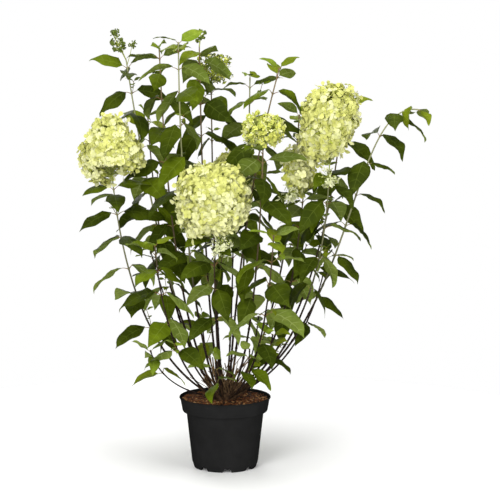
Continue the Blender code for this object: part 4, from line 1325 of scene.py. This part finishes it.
def make_soil(kit):
    """Potting mix with an uneven top, and bark crumbs of several colours strewn on it."""
    body = turned("mix", soil_outline(), SOIL_STEPS)
    mesh = coated(evaluated_mesh(body), kit.finishes["mix"])
    bpy.data.objects.remove(body)
    dice = random.Random(SOIL_SEED)
    for vertex in mesh.vertices:
        if vertex.co.z > SOIL_LEVEL - SOIL_SKIN and vertex.co.xy.length < COLLAR_FOOT_RADIUS - WALL:
            vertex.co.z += dice.uniform(*SOIL_ROUGH)
    piece("potting_mix_bed", mesh, "potting_mix", "potting_mix")

    bm = bmesh.new()
    radius = COLLAR_FOOT_RADIUS - CRUMB_EDGE
    bmesh.ops.create_circle(bm, cap_ends=True, cap_tris=False, segments=64, radius=radius)
    bmesh.ops.inset_region(bm, faces=bm.faces, thickness=CRUMB_SLOPE)
    for vertex in bm.verts:
        vertex.co.z = soil_height(vertex.co.xy.length) + CRUMB_RISE
    top = mesh_of("top_of_mix", bm)
    chips = shape_collection("bark_chips", [chip_shape(f"chip_{i}", dice) for i in range(CHIP_KINDS)])
    tree = crumbs_tree()
    for seed, (name, (density, smallest, largest)) in enumerate(CRUMBS.items(), 3):
        given = {"Density": density, "Smallest": smallest, "Largest": largest, "Seed": seed}
        given |= {"Chips": chips, "Finish": kit.finishes["crumb_" + name]}
        mesh = grown("bark_crumbs_" + name, tree, top.copy(), **given)
        mesh.shade_flat()  # splintery things keep flat faces
        piece("bark_crumbs_" + name, mesh, "potting_mix", "potting_mix")


# Canes, twigs and petioles


def cane_line(path, start, end, nodes):
    """A stretch of a cane, thicker at its nodes."""
    line = []
    for s in evenly(start, end, max(2, math.ceil((end - start) / BARK_STEP))):
        near = [(s - node) / NODE_SPREAD for node in nodes if abs(s - node) < NODE_REACH]
        line.append((path.at(s), path.radius(s) * (1 + NODE_SWELL * sum(math.exp(-(n**2)) for n in near))))
    return line


GREEN_STEMS = ("left_outer", "left_tall", "mid_left", "back_centre", "right_bloom", "right_arch")


def make_canes(paths, stations, kit):
    """Bare boughs, and the stems in the leaves, in brown bark or in bark that turns green."""
    for hue, green in (("brown", False), ("green", True)):
        boughs, stems, nodes = [], [], []
        for cane in ALL_CANES:
            if (cane.name in GREEN_STEMS) != green:
                continue
            path = paths[cane.name]
            joints = list(stations[cane.name])
            while joints[-1] > arm_of(cane) + LONGEST_INTERNODE:
                joints.append(joints[-1] - LONGEST_INTERNODE)
            entry = cane.bare * path.length
            boughs.append(cane_line(path, arm_of(cane) - ARM_LAP, entry, joints))
            stems.append(cane_line(path, entry, path.length, joints))
            if cane in CANES:
                nodes.append("cane_" + cane.name)
        bark = {"finish": "cane_" + hue, "sides": 9, "relief": 0.30, "grain": 700.0}
        limb_piece(kit, f"bare_{hue}_canes", boughs, "cane_bark", nodes, **bark)
        limb_piece(kit, f"leafy_{hue}_stems", stems, "leaves", LEAF_MASSES, **bark)


def make_twigs(twigs, fine_twigs, kit):
    kinds = (("side_twigs", twigs, "cane_brown"), ("fine_twigs", fine_twigs, "green_twig"))
    for name, paths, finish in kinds:
        lines = [[(path.at(s), path.radius(s)) for s in evenly(0.0, path.length, 6)] for path in paths]
        limb_piece(kit, name, lines, "leaves", LEAF_MASSES, finish, 6, 0.15, 700.0)


# A petiole, in shares of its leaf's length: where it bends, how far up, how far into the blade it
# goes, and its girth with a least one in metres. It is thickest at its foot.
ELBOW, ELBOW_RISE, INTO_BLADE = 0.62, 0.012, 0.03
PETIOLE_GIRTH, LEAST_GIRTH = 0.0052, 0.00035
FOOT_SWELL, SWELL_LOSS, TIP_SWELL = 1.75, 1.9, 1.0


def petiole_line(leaf):
    """A short stalk that leaves the stem along its own way and bends into the blade."""
    elbow = leaf.root + leaf.petiole * PETIOLE * leaf.length * ELBOW + UP * ELBOW_RISE * leaf.length
    end = blade_base(leaf) + sloped(leaf, leaf.angle) * INTO_BLADE * leaf.length
    thick = PETIOLE_GIRTH * leaf.length + LEAST_GIRTH
    line = []
    for t in evenly(0.0, 1.0, 4):
        point = leaf.root * (1 - t) ** 2 + elbow * 2 * t * (1 - t) + end * t * t
        line.append((point, thick * (FOOT_SWELL - SWELL_LOSS * t + TIP_SWELL * t * t)))
    return line


def leaf_spot(leaf, dice):
    """Where a blade goes: its base, its turn, its size and its kind."""
    near = sloped(leaf, leaf.angle + math.radians(LEAF_ARCH))
    forward = sloped(leaf, leaf.angle)
    side = Matrix.Rotation(leaf.roll, 3, near) @ leaf.heading.cross(UP)
    side = (side - forward * side.dot(forward)).normalized()
    axes = Matrix((side, forward, side.cross(forward))).transposed()
    turn = axes.to_quaternion()
    for axis, spread in zip(((1, 0, 0), (0, 1, 0), (0, 0, 1)), BLADE_NOD):
        turn = turn @ Quaternion(axis, math.radians(dice.uniform(-spread, spread)))
    size = (leaf.length * dice.uniform(*BLADE_WIDTHS), leaf.length, leaf.length)
    return blade_base(leaf), turn, size, dice.randrange(LEAF_KINDS)


# The tone of a leaf, as a score from deep to young
TONES = ("deep", "mid", "fresh", "young")
TONE_SEED = 17
YOUNG_TONE, CHANCE_TONE, FINE_TONE, BASE_TONE = 2.4, 1.25, 0.7, 0.9
# Painted shade: leaves on the shaded canes, and low inside the plant, are dealt a deeper tone
SHADED_TONE, SHADED = 0.6, ("right_arch", "right_back", "right_bloom")
INSIDE_SHADE_TONE, INSIDE_RADIUS, INSIDE_TOP = 0.9, 0.14, 0.75


def leaf_tone(one, dice):
    """Leaves lighten towards a tip, on fine twigs and at the base. Inside the plant and on a few shaded
    canes they are dealt a deeper green, which is painted shade. They vary a little by chance."""
    score = one.young * YOUNG_TONE + dice.uniform(0, CHANCE_TONE) + (FINE_TONE if one.fine else 0.0)
    root = one.leaf.root
    if one.cane in SHADED:
        score -= SHADED_TONE
    if root.xy.length < INSIDE_RADIUS and root.z < INSIDE_TOP:
        score -= INSIDE_SHADE_TONE
    if one.cane.startswith("base_"):
        score += BASE_TONE
    return TONES[min(3, max(0, int(score)))]


def make_leaves(leaves, kit):
    """Blades by tone, each with its paler underside, and their petioles."""
    dice = random.Random(TONE_SEED)
    spots = {tone: [] for tone in TONES}
    for one in leaves:
        spots[leaf_tone(one, dice)].append(leaf_spot(one.leaf, dice))
    for tone, placed in spots.items():
        finishes = ("leaf_" + tone, "leaf_underside")
        placed_piece(kit, "leaves_" + tone, placed, "leaves", LEAF_MASSES, "leaves", *finishes)
    petioles = [petiole_line(one.leaf) for one in leaves]
    limb_piece(kit, "petioles", petioles, "leaves", LEAF_MASSES, "petiole", 6)


# Flower heads


Head = namedtuple("Head", "start turn spots stalks")
Spray = namedtuple("Spray", "head hub spread count tone cane share seed")
CENTRE, SLOPE_STEP = 0.42, 0.02


def egg(bloom, share):
    """Half width of a flower head at a share of its length, for a half width of 1 at its belly."""
    under = share < bloom.belly
    span = bloom.belly if under else 1 - bloom.belly
    power = max(2.0, bloom.fullness) if under else bloom.fullness
    return max(0.0, 1 - abs((share - bloom.belly) / span) ** power) ** (1 / power)


def head_surface(bloom, head, share, way, shell):
    """A point in a shell of a head, and the direction out of it. A shell is a bit flatter than the head."""
    above, below = min(1.0, share + SLOPE_STEP), max(0.0, share - SLOPE_STEP)
    slope = (egg(bloom, above) - egg(bloom, below)) * bloom.radius / (2 * SLOPE_STEP * bloom.length)
    out = (level(way) - UP * slope).normalized()
    centre = UP * (CENTRE * bloom.length)
    inset = level(way) * egg(bloom, share) * bloom.radius + UP * (share * bloom.length) - centre
    nested = Vector((inset.x * shell, inset.y * shell, inset.z * (shell - FLATTER)))
    return head.start + head.turn @ (centre + nested), head.turn @ out


def even_shares(bloom, count):
    """Shares of a head's length that spread so many florets evenly over its surface."""
    shares = np.linspace(0.0, 1.0, 801)
    widths = np.array([egg(bloom, share) for share in shares]) * bloom.radius
    slant = np.hypot(np.diff(widths), np.diff(shares) * bloom.length)
    covered = np.concatenate([[0.0], np.cumsum(slant * (widths[1:] + widths[:-1]))])
    return np.interp((np.arange(count) + 0.5) / count * covered[-1], covered, shares)


def aimed(out, dice, tilt):
    """A turn that faces +Z outwards, give or take a tilt, and spins by chance."""
    u, v = side_frame(out)
    lean = out + u * dice.gauss(0, tilt) + v * dice.gauss(0, tilt)
    return lean.to_track_quat("Z", "Y") @ Quaternion(UP, dice.uniform(0, 2 * math.pi))


def strayed(out, dice, spread):
    return out + Vector([dice.gauss(0, spread) for axis in "xyz"])


def stalk(head, radii, *points):
    """A stalk through some points, by its radius at each."""
    head.stalks.append([*zip(points, radii)])


def fork(bloom, head, share, pull, drop, least):
    """Where the stalk of what sits at a share of a head's length leaves the axis, some way down."""
    return head.start + head.turn @ (UP * (bloom.length * max(least, share * pull - drop)))


# Florets in the outer shell, floret reach (m), tilt, raggedness, share of cream ones, tone of the
# others; then, in shares of the head's length, how far the lowest ones hang at the viewer's left
# and right and are raised between; and how far the head's foot is bent to the viewer's right (m)
FULL_HEADS = {
    "panicle_left": (335, 0.0122, 0.46, 0.080, 0.46, "soft", 0.13, -0.02, 0.30, 0.000),
    "panicle_centre": (470, 0.0123, 0.48, 0.065, 0.74, "soft", 0.08, 0.03, 0.04, 0.000),
    "panicle_right": (430, 0.0121, 0.46, 0.080, 0.46, "soft", 0.03, -0.08, 0.06, -0.024),
    "panicle_back": (255, 0.0122, 0.46, 0.080, 0.50, "soft", 0.08, 0.08, 0.06, 0.000),
    # panicle_inner is young lime with few cream florets: this saturated tone is partly painted light, the
    # yellow-green light through the leaves round it
    "panicle_inner": (76, 0.0118, 0.60, 0.240, 0.34, "young", 0.24, 0.08, 0.06, 0.000),
}
# Shells of a full head: how far out, share of the florets, whether it shows
# The hidden inner shell is mostly lime, which is partly painted shade seen through the gaps
SHELLS = ((0.95, 1.0, True), (0.88, 0.85, True), (0.80, 0.5, False))
FLATTER = 0.05
LUMP_SIZE, LUMP_DEPTH, RAGGED = 0.034, 0.15, (-1.1, 0.8)
SHARE_SHIFT, STEADY_TOP = 0.02, 4  # florets stray from their rows, but for those at the very top
LOBE_START, LOBE_SPAN, LOBE_TOP = 0.35, 0.4, 0.05
CREAM_FOOT, CREAM_WITHIN = 1.4, 0.5  # cream florets are commoner at a head's foot, and rarer within
FLORET_SIZES = (0.80, 1.10)
FOOT_OPEN, OPEN_LOSS = 1.14, 0.30  # florets open from the foot of a head up
EYE_RADIUS, EYE_RISE = 0.0012, 0.0005

# Radii of stalks, from the foot to the tip (m)
AXIS_STALK = (0.0017, 0.0016, 0.0013, 0.0006)
FLORET_STALK = (0.0009, 0.0006, 0.0005)
SPRAY_STALK, SPRAY_TWIG = (0.0010, 0.0009, 0.0007), (0.0005, 0.0004)
KNOT_STALK, KNOT_TWIG = (0.0010, 0.0008, 0.0006), (0.0004, 0.0003)
BUD_STALK, BUD_TWIG = (0.0010, 0.0009, 0.0008), (0.0005, 0.0004)
# Where stalks leave the axis: share of the height they reach, drop and least, in the head's length
FLORET_FORK, KNOT_FORK, BUD_FORK = (0.86, 0.06, 0.02), (0.75, 0.10, 0.02), (0.7, 0.05, 0.0)
FLORET_ELBOW, KNOT_ELBOW, BUD_ELBOW = 0.55, 0.6, 0.5
UNDER_FLORET = 0.001
AXIS_END = 0.9


def full_head(bloom, head):
    """Florets in three shells, paler outside and limier within, with a stalk to every second one that
    shows. The lowest ones hang in lobes at both sides. The darker lime within is partly the inner florets'
    own green and partly painted shade in the gaps between the outer ones."""
    count, reach, tilt, ragged, cream, others, left_skirt, right_skirt, rise, bend = FULL_HEADS[bloom.name]
    dice = random.Random(bloom.seed)
    axis = head.turn @ UP
    number = 0
    for shell, part, shows in SHELLS:
        for share in even_shares(bloom, round(count * part)):
            number += 1
            way = GOLDEN_TURN * number
            shift = dice.uniform(-SHARE_SHIFT, SHARE_SHIFT) * min(1.0, STEADY_TOP * (1 - share))
            held = min(1.0, max(0.0, share + shift))
            smooth = head_surface(bloom, head, held, way, 1.0)[0]
            lump = LUMP_DEPTH * noise.noise(smooth / LUMP_SIZE) + dice.uniform(*RAGGED) * ragged
            place, out = head_surface(bloom, head, held, way, shell * (1 + lump))
            on_axis = head.start + axis * (place - head.start).dot(axis)
            aside = (place - on_axis).normalized().x
            skirt = right_skirt if aside > 0 else left_skirt
            lobe = min(1.0, max(0.0, (abs(aside) - LOBE_START) / LOBE_SPAN))
            low = max(0.0, 1 - share / (bloom.belly + LOBE_TOP))
            place += axis * bloom.length * low * (rise * (1 - lobe) - skirt * lobe)
            place.x += bend * (1 - share)
            creamy = cream * (CREAM_FOOT - share) * (1.0 if shows else CREAM_WITHIN)
            tone = "cream" if dice.random() < creamy else others if shows else "lime"
            size = reach * dice.uniform(*FLORET_SIZES) * (FOOT_OPEN - OPEN_LOSS * share)
            aim = aimed(out, dice, tilt)
            head.spots[tone].append((place, aim, (size,) * 3, dice.randrange(FULL_FLORETS)))
            head.spots["eyes"].append((place + out * EYE_RISE, aim, (EYE_RADIUS,) * 3, 0))
            if shows and number % 2 == 0:
                inner = fork(bloom, head, share, *FLORET_FORK)
                elbow, end = inner.lerp(place, FLORET_ELBOW), place - out * UNDER_FLORET
                stalk(head, FLORET_STALK, inner, elbow, end)


# Late florets beside and under a head, and outer bunches of buds: head, hub (m), spread (m), florets,
# tone, the cane whose stem bears them and how far along it, seed. White ones are small and narrow.
LATE_SPRAYS = (
    Spray("panicle_centre", (-0.004, -0.160, 0.584), 0.025, 60, "white", "front_centre", 0.95, 201),
    Spray("panicle_right", (0.256, -0.085, 0.742), 0.022, 40, "white", "right_bloom", 0.96, 203),
    Spray("panicle_young", (0.068, -0.135, 0.842), 0.018, 30, "white", "front_right", 0.99, 211),
    Spray("panicle_inner", (0.160, -0.030, 0.698), 0.020, 34, "white", "right_inner", 0.96, 205),
    Spray("panicle_inner", (0.186, -0.052, 0.748), 0.026, 34, "cream", "right_inner", 0.98, 207),
    Spray("panicle_inner", (0.176, -0.052, 0.790), 0.024, 28, "cream", "right_inner", 0.99, 209),
    Spray("buds_left", (-0.272, 0.060, 1.090), 0.012, 50, None, "left_tall", 1.00, 213),
    Spray("buds_left", (-0.230, 0.058, 1.062), 0.010, 44, None, "left_tall", 0.985, 215),
)
LATE_SIZES, LATE_REACH = (0.0056, 0.0098), (0.55, 1.15)
LATE_FORWARD, LATE_DOWN, LATE_SAG = 0.4, 0.2, 0.003
CREAM_GROWN, LATE_DEPTH = 1.5, 1.2  # cream ones are nearly full florets, and all are deep
LATE_BUD = 0.0018
LOOSE, TIGHT = 0.5, 0.3  # tilts of small florets and of buds


def late_spray(spray, path, head):
    """Florets with a bud here and there, or buds alone, all from one hub."""
    dice = random.Random(spray.seed)
    hub = Vector(spray.hub)
    root = path.at(path.length * spray.share)
    stalk(head, SPRAY_STALK, root, root.lerp(hub, 0.5) - UP * LATE_SAG, hub)
    for number in range(spray.count):
        x, y, z = (dice.gauss(0, 1) for axis in "xyz")
        out = Vector((x, y - LATE_FORWARD, z - LATE_DOWN)).normalized()
        end = hub + out * spray.spread * dice.uniform(*LATE_REACH)
        stalk(head, SPRAY_TWIG, hub, end)
        if spray.tone and number % 4:
            size, kind = dice.uniform(*LATE_SIZES), FULL_FLORETS + dice.randrange(NARROW_FLORETS)
            if spray.tone == "cream":
                size, kind = CREAM_GROWN * size, kind - NARROW_FLORETS
            deep = (size, size, size * LATE_DEPTH)
            head.spots[spray.tone].append((end, aimed(out, dice, LOOSE), deep, kind))
        else:
            head.spots["buds"].append((end, aimed(out, dice, TIGHT), (LATE_BUD,) * 3, 0))


# Knots of florets, florets and buds in a knot, share of florets, tones of the florets
YOUNG_HEADS = {
    "panicle_young": (74, 15, 0.56, ("young", "young", "young", "cream")),
    "buds_back": (44, 13, 0.42, ("lime", "lime", "young")),
}
KNOT_SHELLS, KNOT_SPREAD, KNOT_REACH = (0.98, 0.88, 0.80, 0.55), 0.8, (0.004, 0.013)
YOUNG_SIZES, YOUNG_BUDS = (0.0036, 0.0066), (0.0012, 0.0022)


def young_head(bloom, head):
    """A young head: small lime florets and buds in knots, loose enough to see its stalks."""
    dice = random.Random(bloom.seed)
    knots, many, open_share, tones = YOUNG_HEADS[bloom.name]
    for number, share in enumerate(even_shares(bloom, knots)):
        hub, out = head_surface(bloom, head, share, GOLDEN_TURN * number, dice.choice(KNOT_SHELLS))
        inner = fork(bloom, head, share, *KNOT_FORK)
        stalk(head, KNOT_STALK, inner, inner.lerp(hub, KNOT_ELBOW), hub)
        for small in range(many):
            lean = strayed(out, dice, KNOT_SPREAD).normalized()
            end = hub + lean * dice.uniform(*KNOT_REACH)
            stalk(head, KNOT_TWIG, hub, end)
            if dice.random() < open_share:
                size = dice.uniform(*YOUNG_SIZES)
                florets = head.spots[dice.choice(tones)]
                kinds = FULL_FLORETS + NARROW_FLORETS
                florets.append((end, aimed(lean, dice, LOOSE), (size,) * 3, dice.randrange(kinds)))
            else:
                size = dice.uniform(*YOUNG_BUDS)
                head.spots["buds"].append((end, aimed(lean, dice, TIGHT), (size,) * 3, 0))


# Clusters of buds in a head, and the clusters' reach (m)
BUD_HEADS = {"buds_left": (9, 0.0100), "buds_mid": (6, 0.0070)}
BUDS, BUD_SPREAD, BUD_REACH, BUD_SIZES = 34, 0.7, (0.25, 0.85), (0.0014, 0.0025)
CLUSTER_SHELLS, CLUSTER_BEND = (0.45, 0.95), 0.001
LOWEST_CLUSTER, CLUSTER_SPAN = 0.03, 0.95


def bud_head(bloom, head):
    """Unopened buds in small rounded clusters, on stalks that branch from the axis."""
    dice = random.Random(bloom.seed)
    clusters, reach = BUD_HEADS[bloom.name]
    for number in range(clusters):
        share = LOWEST_CLUSTER + CLUSTER_SPAN * (number + 0.5) / clusters
        hub, out = head_surface(bloom, head, share, GOLDEN_TURN * number, dice.uniform(*CLUSTER_SHELLS))
        inner = fork(bloom, head, share, *BUD_FORK)
        stalk(head, BUD_STALK, inner, inner.lerp(hub, BUD_ELBOW) + out * CLUSTER_BEND, hub)
        for bud in range(BUDS):
            lean = strayed(out, dice, BUD_SPREAD)
            end = hub + lean.normalized() * reach * dice.uniform(*BUD_REACH)
            size = dice.uniform(*BUD_SIZES)
            stalk(head, BUD_TWIG, hub, end)
            head.spots["buds"].append((end, aimed(lean, dice, TIGHT), (size,) * 3, 0))


SEPAL_TONES = ("cream", "soft", "lime", "young", "white")


def make_heads(paths, kit):
    """Every flower head, each as its own sepals, buds and stalks."""
    for bloom in BLOOMS:
        path = paths[bloom.cane]
        neck = path.at(path.length) + path.along(path.length) * GAP
        axis = Vector((*bloom.lean, bloom.length)).normalized()
        start, turn = neck + axis * BLOOM_NECK, axis.to_track_quat("Z", "Y").to_matrix()
        head = Head(start, turn, {kind: [] for kind in (*SEPAL_TONES, "eyes", "buds")}, [])
        top = start + turn @ (UP * (bloom.length * AXIS_END))
        stalk(head, AXIS_STALK, neck, start, start.lerp(top, 0.5), top)
        if bloom.name in FULL_HEADS:
            full_head(bloom, head)
        elif bloom.name in YOUNG_HEADS:
            young_head(bloom, head)
        else:
            bud_head(bloom, head)
        for spray in LATE_SPRAYS:
            if spray.head == bloom.name:
                late_spray(spray, paths[spray.cane], head)
        green = bloom.name.startswith("buds")
        slot, bud_finish = ("green_buds", "bud_green") if green else ("petals", "bud_lime")
        layers = [(tone + "_sepals", tone, "florets", "sepal_" + tone) for tone in SEPAL_TONES]
        layers += [("eyes", "eyes", "buds", bud_finish), ("buds", "buds", "buds", bud_finish)]
        for name, kind, shapes, finish in layers:
            if head.spots[kind]:
                placed = head.spots[kind]
                placed_piece(kit, f"{bloom.name}_{name}", placed, slot, [bloom.name], shapes, finish)
        limb_piece(kit, f"{bloom.name}_stalks", head.stalks, slot, [bloom.name], "flower_stalk", 5)


# Woody crown


def make_crown(paths, kit):
    """A knotty stump, an arm towards each cane, cut stubs of earlier years, and dead twiglets."""
    dice = random.Random(CROWN_SEED)
    lines = []
    for cane in ALL_CANES:
        path = paths[cane.name]
        line = []
        for i, s in enumerate(evenly(0.0, arm_of(cane), ARM_STEPS)):
            swell = ARM_SWELL * (1.0 - ARM_TAPER * i / ARM_STEPS) if i < ARM_STEPS else 1.0
            line.append((path.at(s), path.radius(s) * swell))
        lines.append(line)
    for i in range(OLD_STUBS):
        turn = 360 / OLD_STUBS * i + STUB_TURN + dice.uniform(-STUB_SPREAD, STUB_SPREAD)
        out = level(math.radians(turn))
        tilt = math.radians(dice.uniform(*STUB_TILTS))
        foot = out * STUMP_TOP_RADIUS * STUB_FOOT + UP * (GROUND + STUMP_HEIGHT / 2)
        lean = out * math.sin(tilt) + UP * math.cos(tilt)
        end = foot + lean * STUB_LENGTH * dice.uniform(*STUB_LENGTHS)
        shares = evenly(0.0, 1.0, STUB_STEPS)
        lines.append([(foot.lerp(end, t), STUB_RADIUS * (STUB_SWELL - STUB_TAPER * t)) for t in shares])
    lines.append([(UP * (GROUND + GAP + STUMP_HEIGHT * height), radius) for height, radius in KNOTS])
    limb_piece(kit, "knotty_crown", lines, "old_wood", ["woody_crown"], "old_wood", 10, 0.55, 420.0)

    twiglets = []
    for number in range(TWIGLETS):
        out = level(dice.uniform(0, 2 * math.pi))
        tilt = math.radians(dice.uniform(*TWIGLET_TILTS))
        foot = out * dice.uniform(*TWIGLET_FEET) + UP * (GROUND + dice.uniform(*TWIGLET_HEIGHTS))
        lean = out * math.sin(tilt) + UP * math.cos(tilt)
        length = dice.uniform(*TWIGLET_LENGTHS)
        bend = out.cross(UP) * dice.uniform(*TWIGLET_BENDS) + UP * TWIGLET_LIFT
        radius = dice.uniform(*TWIGLET_RADII)
        line = []
        for t in evenly(0.0, 1.0, TWIGLET_STEPS):
            line.append((foot + (lean * t + bend * t * t) * length, radius * (1 - TWIGLET_TAPER * t)))
        twiglets.append(line)
    limb_piece(kit, "dead_twiglets", twiglets, "old_wood", ["woody_crown"], "dead_twig", 6, 0.5, 500.0)


# Stage


FLOOR_RADIUS = 1.15
FLOOR_DROP = 0.0002
WHITE = "FFFFFF"
AMBIENT = 0.15
# name, place (m), width (m), power (W)
LAMPS = (
    ("key", (-1.3, -3.2, 2.0), 1.6, 92),
    ("overhead", (0.1, -0.3, 3.5), 2.8, 94),
    ("fill", (2.7, -2.2, 1.3), 2.0, 48),
    ("low_fill", (0.0, -3.8, 0.7), 1.2, 64),
    ("back", (-0.8, 3.2, 1.8), 2.4, 60),
)


def facing(thing, aim):
    """Turns a lamp or a camera to look along a direction."""
    thing.rotation_euler = aim.to_track_quat("-Z", "Y").to_euler()


def make_stage():
    """A pale floor, soft light from the front, above and behind, and the camera."""
    bm = bmesh.new()
    bmesh.ops.create_circle(bm, cap_ends=True, segments=64, radius=FLOOR_RADIUS)
    mesh = mesh_of("studio_floor", bm)
    mesh.materials.append(new_material("painted_floor", "FDFDFC", 0.9, 0.5)[0])
    floor = add_object("studio_floor", mesh)
    floor.location.z = -FLOOR_DROP
    floor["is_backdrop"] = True

    world = bpy.data.worlds.new("studio")
    bpy.context.scene.world = world
    world.use_nodes = True
    tree = world.node_tree
    soft = tree.nodes["Background"]
    wire(tree, soft, {"Color": linear(WHITE), "Strength": AMBIENT})
    white = add(tree, "ShaderNodeBackground", {"Color": linear(WHITE), "Strength": 1.0})
    rays = add(tree, "ShaderNodeLightPath").outputs["Is Camera Ray"]
    blend = add(tree, "ShaderNodeMixShader", {0: rays, 1: soft, 2: white})
    wire(tree, tree.nodes["World Output"], {"Surface": blend})

    for name, place, size, power in LAMPS:
        light = bpy.data.lights.new(name, "AREA")
        light.energy = power
        light.size = size
        lamp = add_object(name, light)
        lamp.location = place
        facing(lamp, VIEW_TARGET - Vector(place))

    camera = bpy.data.cameras.new("camera")
    camera.sensor_width = SENSOR
    camera.lens = SENSOR * VIEW_DISTANCE / VIEW_WIDTH
    viewer = add_object("camera", camera)
    back = Vector((0.0, -math.cos(VIEW_ELEVATION), math.sin(VIEW_ELEVATION)))
    viewer.location = VIEW_TARGET + back * VIEW_DISTANCE
    facing(viewer, -back)
    bpy.context.scene.camera = viewer
    bpy.context.scene.view_settings.view_transform = "Standard"


SHAPE_SEED = 29


def make_kit():
    """The geometry trees, the shapes they place and the finishes."""
    finishes = make_finishes()
    dice = random.Random(SHAPE_SEED)
    florets = [floret_shape(f"floret_{i}", dice) for i in range(FULL_FLORETS)]
    florets += [floret_shape(f"floret_narrow_{i}", dice, NARROW) for i in range(NARROW_FLORETS)]
    blades = [blade_shape(f"blade_{i}", dice) for i in range(LEAF_KINDS)]
    shapes = {"leaves": blades, "florets": florets, "buds": [bud_shape("bud")]}
    placed = {name: shape_collection(name, meshes) for name, meshes in shapes.items()}
    return Kit(limbs_tree(), placed_tree(), placed, finishes)


def main():
    kit = make_kit()
    paths = {cane.name: Path(handles(cane), girth_of(cane), CANE_TIP_RADIUS) for cane in ALL_CANES}
    make_pot(kit)
    make_soil(kit)
    make_crown(paths, kit)
    stations, twigs, fine_twigs, leaves = grow_plant(paths)
    make_canes(paths, stations, kit)
    make_twigs(twigs, fine_twigs, kit)
    make_leaves(leaves, kit)
    make_heads(paths, kit)
    make_stage()


main()

boxes = {"cad": cad_box, "visual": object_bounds()}
{name: [list(corner) for corner in box] for name, box in boxes.items()}
